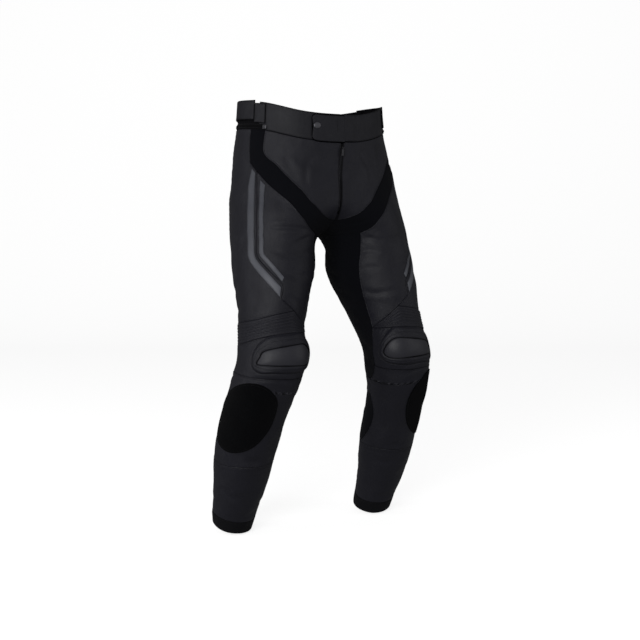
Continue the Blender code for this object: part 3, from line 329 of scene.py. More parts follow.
lines = {
    "waistFront": [(0, 0.034), (0.303, 0.034)],
    "waistV": [(0.303, 0.034), (0.400, 0.034)],
    "waistHip": [(0.400, 0.034), (0.60, 0.034)],
    "waistSeat": [(0.60, 0.034), (1, 0.034)],
    "fly": [(0, 0.034), (0, 0.213)],
    "frontRise": [(0, 0.213), (0, 0.227)],
    "vRise": [(0, 0.227), (0, 0.255)],
    "seatRise": [(1, 0.034), (1, 0.255)],
    "vInner": [(0.303, 0.034), (0.309, 0.055), (0.309, 0.077), (0.285, 0.091),
               (0.234, 0.106), (0.133, 0.158), (0.096, 0.189), (0.062, 0.2125),
               (0.026, 0.2235), (0, 0.227)],
    "vOuterHip": [(0.400, 0.034), (0.397, 0.068), (0.387, 0.103)],
    "vOuterSide": [(0.387, 0.103), (0.340, 0.121)],
    "vOuterFront": [(0.340, 0.121), (0.300, 0.137), (0.202, 0.182), (0.162, 0.218),
                    (0.148, 0.246), (0.140, 0.262)],
    "vUnder": [(0, 0.255), (0.040, 0.2565), (0.140, 0.262)],
    "seatUnder": [(1, 0.255), (0.960, 0.2565), (0.900, 0.262)],
    "stripeSeam": [(0.340, 0.121), (0.337, 0.150), (0.343, 0.189), (0.357, 0.218),
                   (0.3755, 0.246), (0.391, 0.257), (0.389, 0.270), (0.384, 0.291), (0.371, 0.309),
                   (0.350, 0.323), (0.304, 0.346), (0.254, 0.370), (0.252, 0.397)],
    "diagonalOuter": [(0.252, 0.397), (0.187, 0.417)],
    "diagonalInner": [(0.187, 0.417), (0.120, 0.436), (0.050, 0.453)],
    "innerFront": [(0.140, 0.262), (0.100, 0.319), (0.066, 0.368), (0.052, 0.407),
                   (0.050, 0.453)],
    "innerBack": [(0.900, 0.262), (0.905, 0.320), (0.915, 0.400), (0.915, 0.490)],
    "sideUpper": [(0.60, 0.034), (0.60, 0.443)],
    "accordionTop": [(0.187, 0.417), (0.280, 0.426), (0.375, 0.435), (0.475, 0.439),
                     (0.60, 0.443)],
    "accordionEnd": [(0.60, 0.443), (0.60, 0.490)],
    "underInner": [(0.050, 0.453), (0.100, 0.454), (0.145, 0.4545)],
    "underCup": [(0.145, 0.4545), (0.200, 0.456), (0.300, 0.462)],
    "underOuter": [(0.300, 0.462), (0.385, 0.470), (0.478, 0.480), (0.60, 0.490)],
    "cupRound": [(0.300, 0.462), (0.355, 0.475), (0.388, 0.489), (0.402, 0.504),
                 (0.390, 0.519), (0.345, 0.526), (0.280, 0.523), (0.200, 0.522),
                 (0.125, 0.519), (0.078, 0.511), (0.064, 0.498), (0.090, 0.476),
                 (0.145, 0.4545)],
    "innerKnee": [(0.050, 0.453), (0.035, 0.485), (0.030, 0.510), (0.030, 0.528)],
    "kneeLow": [(0.030, 0.528), (0.100, 0.530), (0.250, 0.533), (0.400, 0.537),
                (0.60, 0.545)],
    "sideKnee": [(0.60, 0.490), (0.60, 0.545)],
    "seatLow": [(0.60, 0.490), (0.750, 0.497), (0.915, 0.490)],
    "innerLow": [(0.030, 0.528), (0.012, 0.552), (-0.020, 0.566), (-0.060, 0.560)],
    "kneeBackInner": [(0.915, 0.490), (0.925, 0.530), (0.940, 0.560)],
    "calfSeamUpper": [(0.940, 0.560), (0.970, 0.580), (0.985, 0.600)],
    "calfTop": [(0.60, 0.600), (0.800, 0.606), (0.985, 0.600)],
    "sideCalfTop": [(0.60, 0.545), (0.60, 0.600)],
    "sideCalf": [(0.60, 0.600), (0.60, 0.738)],
    "calfSeam": [(0.985, 0.600), (1.012, 0.622), (1.026, 0.650), (1.010, 0.685),
                 (0.965, 0.712), (0.925, 0.725)],
    "shinSeam": [(0.60, 0.738), (0.420, 0.735), (0.330, 0.726), (0.235, 0.720),
                 (0.100, 0.718), (-0.075, 0.725)],
    "sideCalfLow": [(0.60, 0.738), (0.60, 0.770)],
    "calfSeamLow": [(0.925, 0.725), (0.905, 0.765)],
    "calfLowTop": [(0.60, 0.770), (0.750, 0.775), (0.905, 0.765)],
    "sideShin": [(0.60, 0.770), (0.60, 0.862)],
    "innerShin": [(0.905, 0.765), (0.900, 0.862)],
    "cuffShin": [(0.60, 0.862), (-0.100, 0.862)],
    "cuffCalf": [(0.60, 0.862), (0.900, 0.862)],
    "kneePanel": [(0.368, 0.511), (0.358, 0.500), (0.338, 0.489), (0.270, 0.481),
                  (0.200, 0.476), (0.148, 0.475), (0.110, 0.486), (0.094, 0.500),
                  (0.125, 0.508), (0.200, 0.509), (0.310, 0.511), (0.368, 0.511)],
}


def smoothLine(corners):
    # A Catmull-Rom curve through the corners, about 1.5 mm between its points.
    pts = np.array(corners, float) * (0.5, 1)
    closed = np.allclose(pts[0], pts[-1])
    before = pts[-2] if closed else 2 * pts[0] - pts[1]
    after = pts[1] if closed else 2 * pts[-1] - pts[-2]
    ring = np.vstack([before, pts, after])
    out = [pts[:1]]
    for a, b, c, d in zip(ring[:-3], ring[1:-2], ring[2:-1], ring[3:]):
        count = max(2, int(np.linalg.norm(c - b) / 0.0015))
        t = np.linspace(0, 1, count + 1)[1:, None]
        out.append(0.5 * (2 * b + (c - a) * t + (2 * a - 5 * b + 4 * c - d) * t ** 2
                          + (3 * b - a - 3 * c + d) * t ** 3))
    return np.vstack(out) / (0.5, 1)


def joinLine(entries):
    # Several seams end to end. "-" runs one backwards, "<" moves it once round the leg. f is
    # the share of the length so far, and spans tell where each seam starts and ends in f.
    parts, names = [], []
    for entry in entries:
        name = entry.lstrip("<-")
        pts = smoothLine(lines[name])
        if "-" in entry:
            pts = pts[::-1]
        if "<" in entry:
            pts = pts - (1, 0)
        parts.append(pts if not parts else pts[1:])
        names.append((name, len(pts) if len(parts) == 1 else len(pts) - 1))
    pts = np.vstack(parts)
    step = np.diff(pts, axis=0) * np.stack([girthAt(pts[1:, 1]), np.ones(len(pts) - 1)], -1)
    f = np.concatenate([[0], np.cumsum(np.linalg.norm(step, axis=1))])
    f /= f[-1]
    spans, first = [], 0
    for name, count in names:
        last = min(first + count - (1 if first == 0 else 0), len(pts) - 1)
        spans.append((name, f[first], f[last]))
        first = last
    return {"pts": pts, "f": f, "spans": spans}


def paced(line, pace):
    # Changes the line's own share f so that rows meet the other side where the piece wants.
    if pace == "drop":
        drop = line["pts"][:, 1]
        new = np.maximum.accumulate((drop - drop[0]) / (drop[-1] - drop[0]))
    elif pace is None:
        new = line["f"]
    else:
        new = np.interp(line["f"], *pace)
    spans = [(name, float(np.interp(a, line["f"], new)), float(np.interp(b, line["f"], new)))
             for name, a, b in line["spans"]]
    return {"pts": line["pts"], "f": new, "spans": spans}


def lineAt(line, f):
    # The places at the shares f of a line.
    return np.stack([np.interp(f, line["f"], line["pts"][:, 0]),
                     np.interp(f, line["f"], line["pts"][:, 1])], -1)


def coons(sides, s, t):
    # The patch between four side lines: the mean of two ruled surfaces less the corners' one.
    top, bottom = lineAt(sides["top"], s), lineAt(sides["bottom"], s)
    left, right = lineAt(sides["left"], t), lineAt(sides["right"], t)
    s, t = s[..., None], t[..., None]
    corners = ((1 - s) * (1 - t) * sides["top"]["pts"][0] + s * (1 - t) * sides["top"]["pts"][-1]
               + (1 - s) * t * sides["bottom"]["pts"][0] + s * t * sides["bottom"]["pts"][-1])
    return (1 - t) * top + t * bottom + (1 - s) * left + s * right - corners


def pointLine(place):
    # A side that has shrunk to one place.
    return {"pts": np.array([place, place], float), "f": np.array([0.0, 1.0]), "spans": []}


# Sewing: which seams of a piece are topstitched, and by how many rows

rowsOfStitches = (0.0028, 0.0080)

leatherCloth = {"slot": "leather", "wall": 0.0015, "lift": 0.0}
stretchCloth = {"slot": "stretch", "wall": 0.0013, "lift": -0.0003}

# name: slot, wall, lift, the four sides, the pace of the left and right side, and the rows of
# stitches on each seam.
panels = {
    "front_panel": {
        **leatherCloth,
        "top": ["waistFront"], "right": ["vInner"], "bottom": (0, 0.227),
        "left": ["fly", "frontRise"], "pace": ("drop", "drop"),
        "sewn": {"vInner": 1, "fly": 1}},
    "v_band": {
        **stretchCloth,
        "top": ["waistV"], "left": ["vInner"], "bottom": ["vRise"],
        "right": ["vOuterHip", "vOuterSide", "vOuterFront", "-vUnder"],
        "pace": (None, ((0, 0.198, 0.34, 0.60, 0.86, 1), (0, 0.165, 0.338, 0.63, 0.883, 1))),
        "sewn": {}},
    "thigh_side": {
        **leatherCloth,
        "top": ["waistHip"], "right": ["sideUpper"], "bottom": ["accordionTop"],
        "left": ["vOuterHip", "vOuterSide", "stripeSeam", "diagonalOuter"],
        "pace": ("drop", "drop"),
        "sewn": {"vOuterHip": 1, "vOuterSide": 1, "stripeSeam": 1, "accordionTop": 2,
                 "diagonalOuter": 2}},
    "thigh_front": {
        **leatherCloth,
        "top": (0.340, 0.121), "left": ["vOuterFront", "innerFront"],
        "bottom": ["-diagonalInner", "-diagonalOuter"], "right": ["stripeSeam"],
        "pace": ("drop", "drop"),
        "sewn": {"vOuterFront": 1, "innerFront": 1, "diagonalInner": 2, "diagonalOuter": 2}},
    "seat": {
        **leatherCloth,
        "top": ["waistSeat"], "left": ["sideUpper", "accordionEnd"],
        "right": ["seatRise", "seatUnder", "innerBack"], "bottom": ["seatLow"],
        "pace": (None, ((0, 0.44, 0.54, 1), (0, 0.485, 0.53, 1))),
        "sewn": {"seatRise": 1, "seatUnder": 1, "innerBack": 1, "sideUpper": 2,
                 "seatLow": 1}},
    "inner_leg": {
        **stretchCloth,
        "top": ["<-seatUnder", "vUnder"], "right": ["innerFront", "innerKnee"],
        "bottom": ["-innerLow"], "left": ["<innerBack", "<kneeBackInner"],
        "pace": (None, None), "sewn": {}},
    "accordion": {
        "slot": "leather", "wall": 0.0030, "lift": 0.0006,
        "top": ["-diagonalInner", "accordionTop"], "left": (0.050, 0.453),
        "bottom": ["underInner", "underCup", "underOuter"], "right": ["accordionEnd"],
        "pace": (None, None), "sewn": {}},
    "knee_surround": {
        **leatherCloth,
        "top": ["-underInner"], "left": ["-cupRound"],
        "right": ["innerKnee", "kneeLow", "-sideKnee"], "bottom": ["underOuter"],
        "pace": (None, ((0, 0.189, 0.33, 0.62, 0.869, 1), (0, 0.20, 0.406, 0.642, 0.77, 1))),
        "sewn": {"underInner": 1, "underOuter": 1, "innerKnee": 1}},
    "knee_back": {
        **leatherCloth,
        "top": ["seatLow"], "left": ["sideKnee", "sideCalfTop"], "bottom": ["calfTop"],
        "right": ["kneeBackInner", "calfSeamUpper"], "pace": (None, None),
        "sewn": {"calfTop": 1, "kneeBackInner": 1}},
    "shin_upper": {
        **leatherCloth,
        "top": ["kneeLow"], "right": ["sideCalfTop", "sideCalf"], "bottom": ["-shinSeam"],
        "left": ["innerLow", "<calfSeamUpper", "<calfSeam"],
        "pace": (((0, 0.28, 0.47, 1), (0, 0.10, 0.285, 1)), None),
        "sewn": {"kneeLow": 1, "sideCalf": 1, "sideCalfTop": 1, "calfSeam": 1,
                 "calfSeamUpper": 1, "innerLow": 1}},
    "calf_stretch": {
        **stretchCloth,
        "top": ["calfTop"], "right": ["calfSeam", "calfSeamLow"], "bottom": ["calfLowTop"],
        "left": ["sideCalf", "sideCalfLow"], "pace": (None, None), "sewn": {}},
    "shin_lower": {
        **leatherCloth,
        "top": ["-shinSeam"], "left": ["<calfSeamLow", "<innerShin"],
        "right": ["sideCalfLow", "sideShin"], "bottom": ["-cuffShin"], "pace": (None, None),
        "sewn": {"shinSeam": 2, "calfSeamLow": 1, "innerShin": 1, "sideShin": 1,
                 "sideCalfLow": 1}},
    "calf_low": {
        **leatherCloth,
        "top": ["calfLowTop"], "left": ["sideShin"], "right": ["innerShin"],
        "bottom": ["cuffCalf"], "pace": (None, None), "sewn": {"calfLowTop": 1}},
}


finePlaces = np.array((0, 0.0005, 0.0011, 0.0018, 0.0025, 0.0032, 0.0042, 0.0056))
afterFine, shortSide = 0.0016, 0.030


def spacing(length, step):
    # Places along one side, from 0 to 1: close together at both ends and even between. A short
    # side has its close places squeezed in proportion.
    edge = finePlaces * length / shortSide if length < shortSide else finePlaces
    middle = np.linspace(edge[-1] + afterFine, length - edge[-1] - afterFine,
                         max(2, int(round((length - 2 * edge[-1]) / step))))
    return np.concatenate([edge, middle, length - edge[::-1]]) / length


def lengthsOf(grid):
    # Distances along the rows and the columns from their starts, and the sine of the angle
    # between the two.
    zero = np.zeros((1,) + grid.shape[1:2])
    across = np.linalg.norm(np.diff(grid, axis=0), axis=-1)
    down = np.linalg.norm(np.diff(grid, axis=1), axis=-1)
    across = np.concatenate([zero, np.cumsum(across, axis=0)])
    down = np.concatenate([np.zeros((grid.shape[0], 1)), np.cumsum(down, axis=1)], axis=1)
    a, b = np.gradient(grid, axis=0), np.gradient(grid, axis=1)
    size = np.linalg.norm(a, axis=-1) * np.linalg.norm(b, axis=-1) + 1e-12
    sine = np.clip(np.linalg.norm(np.cross(a, b), axis=-1) / size, 0.15, 1)
    return across, down, sine


def sideGap(down):
    # The distance to the nearer of a grid's first and last column.
    return np.minimum(down, down[:, -1:] - down)


def edgeGap(across, down, flush=None):
    # The distance to the nearest edge. flush names an end (0 or 1) that isn't an edge.
    endGap = np.minimum(across + (flush == 0), across[-1:] - across + (flush == 1))
    return np.minimum(sideGap(down), endGap)


def rolled(gap, depth, width):
    # A turned edge: the face drops by depth times (1 - gap / width) squared.
    return -depth * np.clip(1 - gap / width, 0, 1) ** 2


def grooved(distance, at, depth, width):
    # A soft groove: the face drops by depth times exp(-((distance - at) / width)^2).
    return -depth * np.exp(-((distance - at) / width) ** 2)


seamShape = {"roll": 0.0009, "rollWidth": 0.0014, "puff": 0.00045, "puffAt": 0.0016,
             "puffWidth": 0.0008, "dips": (0.00045, 0.00040), "dipWidths": (0.0006, 0.0007),
             "pull": 0.25, "pucker": 0.00022, "puckerLength": 0.0125, "puckerDrift": 0.031,
             "puckerFade": 0.012, "puckerStart": 0.0015}


def edgeShape(distance, along, sewn):
    # The edge turns down. Beside it come a low puff, a dip at each row of stitches that pulls
    # in at each one by a cosine, and small sine puckers that fade in 12 mm.
    shape = seamShape
    roll = rolled(distance, shape["roll"], shape["rollWidth"])
    puff = grooved(distance, shape["puffAt"], -shape["puff"], shape["puffWidth"])
    pull = 1 - shape["pull"] + shape["pull"] * np.cos(2 * np.pi * along / detail["stitchPitch"])
    first, second = [grooved(distance, *row) * pull
                     for row in zip(rowsOfStitches, shape["dips"], shape["dipWidths"])]
    drift = 3 * np.sin(along / shape["puckerDrift"])
    pucker = shape["pucker"] * np.sin(2 * np.pi * along / shape["puckerLength"] + drift)
    pucker = pucker * np.exp(-(distance / shape["puckerFade"]) ** 2)
    pucker = pucker * np.clip(distance / shape["puckerStart"], 0, 1)
    return roll + (puff + first + pucker) * (sewn > 0) + second * (sewn > 1)


def sewnAlong(line, f, sewn):
    # The number of stitch rows at each place along a side.
    rows = np.zeros(f.shape)
    for name, a, b in line["spans"]:
        rows = np.where((f >= a - 1e-9) & (f <= b + 1e-9), sewn.get(name, 0), rows)
    return rows


# Meshes

def hexColour(code):
    # sRGB hex to linear: c/12.92 below 0.04045, else ((c+0.055)/1.055)^2.4.
    values = [int(code[i:i + 2], 16) / 255 for i in (1, 3, 5)]
    return tuple(c / 12.92 if c <= 0.04045 else ((c + 0.055) / 1.055) ** 2.4
                 for c in values) + (1,)


def meshObject(name, points, quads, uv=None, merge=0.0, rim=None):
    # A smooth-shaded mesh of four-sided faces. Points nearer than merge become one.
    points = toFly(np.asarray(points, float))
    mesh = bpy.data.meshes.new(name)
    mesh.vertices.add(len(points))
    mesh.vertices.foreach_set("co", np.asarray(points, np.float32).ravel())
    quads = np.asarray(quads, np.int32)
    mesh.loops.add(quads.size)
    mesh.loops.foreach_set("vertex_index", quads.ravel())
    mesh.polygons.add(len(quads))
    mesh.polygons.foreach_set("loop_start", np.arange(0, quads.size, quads.shape[1],
                                                      dtype=np.int32))
    mesh.update(calc_edges=True)
    if uv is not None:
        layer = mesh.uv_layers.new(name="cloth")
        layer.data.foreach_set("uv", np.asarray(uv, np.float32)[quads.ravel()].ravel())
    mesh.polygons.foreach_set("use_smooth", np.ones(len(quads), bool))
    if rim is not None:
        mesh.attributes.new("rim", "FLOAT", "POINT")
        mesh.attributes["rim"].data.foreach_set("value", np.asarray(rim, np.float32))
    if merge:
        work = bmesh.new()
        work.from_mesh(mesh)
        bmesh.ops.remove_doubles(work, verts=work.verts, dist=merge)
        bmesh.ops.dissolve_degenerate(work, dist=merge / 4, edges=work.edges)
        work.to_mesh(mesh)
        work.free()
    mesh.validate()
    obj = bpy.data.objects.new(name, mesh)
    bpy.context.scene.collection.objects.link(obj)
    return obj


def gridQuads(rows, columns, start=0, closed=False, flip=False):
    # Faces of a grid of rows x columns points; closed joins the last row to the first.
    i = np.arange(rows if closed else rows - 1)[:, None]
    j = np.arange(columns - 1)[None, :]
    a = i * columns + j
    b = ((i + 1) % rows) * columns + j
    quads = np.stack([a, b, b + 1, a + 1], -1).reshape(-1, 4) + start
    return quads[:, ::-1] if flip else quads


def shell(name, outer, inner, uv, outward, closed=False, gap=None, rimWidth=0.0012):
    # A thin wall: the outer and the inner grid, and strips that join them round every edge.
    # The rim attribute is 1 at the edges and on the whole inner wall, and falls to 0 at
    # rimWidth from the edges; the materials paint shade by it.
    rows, columns = outer.shape[:2]
    count = rows * columns
    a = outer[1:, :-1] - outer[:-1, :-1]
    b = outer[:-1, 1:] - outer[:-1, :-1]
    flip = (np.cross(a, b) * outward[:-1, :-1]).sum() < 0
    quads = [gridQuads(rows, columns, 0, closed, flip),
             gridQuads(rows, columns, count, closed, not flip)]
    index = np.arange(count).reshape(rows, columns)
    rims = [(index[:, 0], True), (index[:, -1], False)]
    if closed:
        rims = [(np.append(rim, rim[0]), way) for rim, way in rims]
    else:
        rims += [(index[0], False), (index[-1], True)]
    for rim, way in rims:
        strip = np.stack([rim[:-1], rim[:-1] + count, rim[1:] + count, rim[1:]], -1)
        quads.append(strip[:, ::-1] if way != flip else strip)
    points = np.concatenate([outer.reshape(-1, 3), inner.reshape(-1, 3)])
    flat = uv.reshape(-1, 2)
    if gap is None:
        across, down, _ = lengthsOf(outer)
        gap = sideGap(down) if closed else edgeGap(across, down)
    rim = np.clip(1 - gap / rimWidth, 0, 1).ravel()
    return meshObject(name, points, np.concatenate(quads), np.concatenate([flat, flat]),
                      merge=2e-6, rim=np.concatenate([rim, rim * 0 + 1]))


def closedCord(name, path, radius, sides=10):
    # A round cord along a closed path: each ring of points stands square to the path.
    angle = np.linspace(0, 2 * np.pi, sides + 1)
    way = np.roll(path, -1, axis=0) - np.roll(path, 1, axis=0)
    way /= np.linalg.norm(way, axis=1, keepdims=True) + 1e-12
    side = np.cross(way, np.array([0.31, 0.22, 0.93]))
    side /= np.linalg.norm(side, axis=1, keepdims=True)
    up = np.cross(way, side)
    ring = path[:, None] + radius * (side[:, None] * np.cos(angle)[None, :, None]
                                     + up[:, None] * np.sin(angle)[None, :, None])
    quads = gridQuads(len(path), sides + 1, closed=True)
    return meshObject(name, ring.reshape(-1, 3), quads, merge=1e-6)


def beads(name, rings):
    # Many small closed bodies in one mesh. rings[i, j] is ring j of body i, and a fan of
    # four-sided faces closes each end.
    count, levels, points = rings.shape[:3]
    index = np.arange(count * levels * points).reshape(count, levels, points)
    nextOne = np.roll(index, -1, axis=2)
    quads = [np.stack([index[:, :-1], nextOne[:, :-1], nextOne[:, 1:], index[:, 1:]], -1)]
    for level, way in ((0, 1), (-1, -1)):
        for k in range(1, points - 1, 2):
            quads.append(index[:, level][:, [0, k + 2, k + 1, k][::way]])
    return meshObject(name, rings.reshape(-1, 3),
                      np.concatenate([rows.reshape(-1, 4) for rows in quads]))


# Stitches

stitch = {"start": 0.06, "end": 0.94, "radius": 0.00027, "points": 6,
          "rise": (-0.00035, 0.00008, 0.00020, 0.00008, -0.00035),
          "fullness": (0.35, 0.85, 1.0, 0.85, 0.35), "endPlaces": 5}
stitchStore = {}


def keepStitches(thread, path, normal, pitch, trim=0.002):
    # Cuts a line into equal stitches and keeps their places and normals for later.
    step = np.linalg.norm(np.diff(path, axis=0), axis=1)
    keep = np.concatenate([[True], step > 1e-7])
    path, normal = path[keep], normal[keep]
    if len(path) < 2:
        return
    reach = np.concatenate([[0], np.cumsum(np.linalg.norm(np.diff(path, axis=0), axis=1))])
    count = int((reach[-1] - 2 * trim) / pitch)
    if count < 1:
        return
    start = (reach[-1] - count * pitch) / 2 + np.arange(count) * pitch
    t = np.linspace(stitch["start"], stitch["end"], len(stitch["rise"]))
    at = start[:, None] + t[None, :] * pitch
    places = np.stack([np.interp(at, reach, path[:, k]) for k in range(3)], -1)
    outs = np.stack([np.interp(at, reach, normal[:, k]) for k in range(3)], -1)
    stitchStore.setdefault(thread, []).append((places, outs))


def stitchMesh(name, thread):
    # Each stitch is a bead of thread: five rings of six points whose middle is fullest.
    places = np.concatenate([p for p, _ in stitchStore[thread]])
    outs = np.concatenate([n for _, n in stitchStore[thread]])
    outs /= np.linalg.norm(outs, axis=-1, keepdims=True)
    size = np.array(stitch["fullness"]) * stitch["radius"]
    way = np.gradient(places, axis=1)
    way /= np.linalg.norm(way, axis=-1, keepdims=True) + 1e-12
    side = np.cross(way, outs)
    side /= np.linalg.norm(side, axis=-1, keepdims=True) + 1e-12
    middle = places + outs * np.array(stitch["rise"])[None, :, None]
    angle = np.linspace(0, 2 * np.pi, stitch["points"], endpoint=False)
    return beads(name, middle[:, :, None] + size[None, :, None, None]
                 * (side[:, :, None] * np.cos(angle)[None, None, :, None]
                    + outs[:, :, None] * np.sin(angle)[None, None, :, None]))


def atDistance(final, normal, distance, offset, axis, fromEnd):
    # Points on the finished surface at one distance from a side, by interpolation across it.
    if fromEnd:
        final, normal, distance = (np.flip(a, axis) for a in (final, normal, distance))
    final, normal = np.moveaxis(final, axis, 0), np.moveaxis(normal, axis, 0)
    distance = np.moveaxis(distance, axis, 0)
    k = np.clip((distance < offset).sum(0), 1, len(distance) - 1)
    j = np.arange(distance.shape[1])
    low, high = distance[k - 1, j], distance[k, j]
    t = np.clip((offset - low) / (high - low + 1e-12), 0, 1)[:, None]
    place = final[k - 1, j] * (1 - t) + final[k, j] * t
    return place, normal[k, j]


def sewRound(thread, final, out, distance, offset, pitch, fromEnd=False):
    # A row of stitches all the way round a ring, at one distance from its edge.
    path, face = atDistance(final, out, distance, offset, 1, fromEnd)
    keepStitches(thread, np.vstack([path, path[:1]]), np.vstack([face, face[:1]]), pitch, trim=0)


def sewStraight(thread, final, out, distance, offset, axis, fromEnd, pitch):
    # A row of stitches along a side that stops short of the side's closely spaced ends.
    path, face = atDistance(final, out, distance, offset, axis, fromEnd)
    cut = stitch["endPlaces"]
    keepStitches(thread, path[cut:-cut], face[cut:-cut], pitch)


# Materials

def add(tree, kind, settings=None, links=None):
    # Adds a node, sets its values or inputs, and links sockets into it.
    node = tree.nodes.new(kind)
    for key, value in (settings or {}).items():
        if isinstance(key, int) or key in node.inputs:
            node.inputs[key].default_value = value
        else:
            setattr(node, key, value)
    for key, socket in (links or {}).items():
        tree.links.new(socket, node.inputs[key])
    return node


def newMaterial(name, settings):
    material = bpy.data.materials.new(name)
    material.use_nodes = True
    tree = material.node_tree
    shader = tree.nodes["Principled BSDF"]
    for key, value in settings.items():
        shader.inputs[key].default_value = value
    return material, tree, shader


def connect(tree, shader, sockets):
    for key, socket in sockets.items():
        tree.links.new(socket, shader.inputs[key])


def placeIn(tree):
    return add(tree, "ShaderNodeTexCoord").outputs["Object"]


def clothIn(tree):
    return add(tree, "ShaderNodeUVMap", {"uv_map": "cloth"}).outputs["UV"]


def rimIn(tree):
    return add(tree, "ShaderNodeAttribute", {"attribute_name": "rim"}).outputs["Fac"]


def noise(tree, vector, scale, octaves, roughness=0.5, output="Fac"):
    node = add(tree, "ShaderNodeTexNoise", {"Scale": scale, "Detail": octaves,
                                            "Roughness": roughness}, {"Vector": vector})
    return node.outputs[output]


def cells(tree, vector, scale, feature="DISTANCE_TO_EDGE"):
    node = add(tree, "ShaderNodeTexVoronoi", {"feature": feature, "Scale": scale},
               {"Vector": vector})
    return node.outputs["Distance"]


def ramp(tree, socket, low, high, toLow, toHigh):
    node = add(tree, "ShaderNodeMapRange", {"From Min": low, "From Max": high, "To Min": toLow,
                                            "To Max": toHigh}, {"Value": socket})
    return node.outputs["Result"]


def weighted(tree, socket, factor, other):
    # The first socket times the factor, plus the other socket.
    node = add(tree, "ShaderNodeMath", {"operation": "MULTIPLY_ADD", 1: factor},
               {0: socket, 2: other})
    return node.outputs["Value"]


def tint(tree, socket, dark, light):
    node = add(tree, "ShaderNodeMix", {"data_type": "RGBA", 6: hexColour(dark),
                                       7: hexColour(light)}, {0: socket})
    return node.outputs[2]


def paintedShade(tree, colour, code, share):
    # Painted shade: the colour, mixed towards a dark one by the share.
    node = add(tree, "ShaderNodeMix", {"data_type": "RGBA", 7: hexColour(code)},
               {0: share, 6: colour})
    return node.outputs[2]


def bumpFrom(tree, socket, strength, depth):
    node = add(tree, "ShaderNodeBump", {"Strength": strength, "Distance": depth},
               {"Height": socket})
    return node.outputs["Normal"]


def leatherMaterial(name, dark, light, rough, grain=1.3, depth=0.00014, specular=0.4,
                    edge=0.55):
    # Cowhide, dyed and finished: the eye sees a soft broken sheen over fine pebbled cells,
    # with slow changes of tone where the hide was denser. At turned edges and seams the colour
    # is painted shade: by the rim attribute it goes towards near black and the shine drops, by
    # the share edge.
    material, tree, shader = newMaterial(name, {})
    coords = placeIn(tree)
    bend = noise(tree, coords, 420.0, 2.0, output="Color")
    moved = add(tree, "ShaderNodeVectorMath", {"operation": "MULTIPLY_ADD",
                                               1: (0.0011, 0.0011, 0.0011)}, {0: bend, 2: coords})
    pebbles = ramp(tree, cells(tree, moved.outputs["Vector"], 1000 / grain), 0, 0.22, 0, 1)
    height = weighted(tree, noise(tree, coords, 1900.0, 3.0), 0.25, pebbles)
    slow = noise(tree, coords, 26.0, 4.0, 0.6)
    rim = rimIn(tree)
    connect(tree, shader, {
        "Normal": bumpFrom(tree, height, 0.8, depth),
        # Painted shade: towards near black, with a lower shine, at the rim.
        "Base Color": paintedShade(tree, tint(tree, slow, dark, light), "#050506",
                               ramp(tree, rim, 0, 0.6, 0, edge)),
        "Specular IOR Level": ramp(tree, rim, 0, 0.6, specular, specular * (1 - edge)),
        "Roughness": ramp(tree, slow, 0.3, 0.7, rough + 0.05, rough - 0.05)})
    return material


def stripeMaterial(name, upper, lower, top, bottom, rough):
    # Cowhide with a grey print, brushed over: the eye sees fine streaks along the stripe and
    # a lighter lower stretch, which is painted light: the colour pales down the stripe as a
    # painted highlight on the lower stretch, and the rim is painted shade.
    material, tree, shader = newMaterial(name, {"Roughness": rough, "Specular IOR Level": 0.4})
    coords = placeIn(tree)
    parts = add(tree, "ShaderNodeSeparateXYZ", None, {"Vector": coords})
    along = add(tree, "ShaderNodeMapping", {"Scale": (60.0, 700.0, 1.0)},
                {"Vector": clothIn(tree)})
    streaks = noise(tree, along.outputs["Vector"], 1.0, 4.0, 0.65)
    # Painted light: the colour pales towards the bottom of the stripe.
    fall = ramp(tree, parts.outputs["Z"], top, bottom, 0, 1)
    shade = weighted(tree, ramp(tree, streaks, 0.25, 0.75, -0.28, 0.28), 0.9, fall)
    connect(tree, shader, {
        "Normal": bumpFrom(tree, cells(tree, coords, 700.0), 0.7, 0.00008),
        # Painted shade at the stripe's edges.
        "Base Color": paintedShade(tree, tint(tree, shade, upper, lower), "#16171a",
                               ramp(tree, rimIn(tree), 0, 0.8, 0, 0.7))})
    return material


def knitMaterial(name, dark, light, pitch=2.0, depth=0.00025, rough=0.92):
    # Elastic warp knit: the eye sees a dull black with fine ribs that catch no light.
    material, tree, shader = newMaterial(name, {"Roughness": rough, "Specular IOR Level": 0.12,
                                                "Sheen Weight": 0.02, "Sheen Roughness": 0.5})
    uv = clothIn(tree)
    wales = add(tree, "ShaderNodeTexWave", {"wave_type": "BANDS", "bands_direction": "X",
                                            "Scale": 100 * math.pi / pitch,
                                            "Distortion": 0.4, "Detail": 1.0}, {"Vector": uv})
    height = weighted(tree, noise(tree, uv, 900.0, 2.0), 0.4, wales.outputs["Fac"])
    connect(tree, shader, {"Normal": bumpFrom(tree, height, 0.9, depth),
                           "Base Color": tint(tree, wales.outputs["Fac"], dark, light)})
    return material


def pileMaterial(name, dark, light):
    # Hook-and-loop loops: the eye sees a deep matt black, a little fuzzy and mottled.
    material, tree, shader = newMaterial(name, {"Roughness": 1.0, "Specular IOR Level": 0.04,
                                                "Sheen Weight": 0.02, "Sheen Roughness": 0.7})
    coords = placeIn(tree)
    tufts = cells(tree, coords, 950.0, "F1")
    connect(tree, shader, {"Normal": bumpFrom(tree, tufts, 1.0, 0.0005),
                           "Base Color": tint(tree, noise(tree, coords, 120.0, 4.0), dark, light)})
    return material


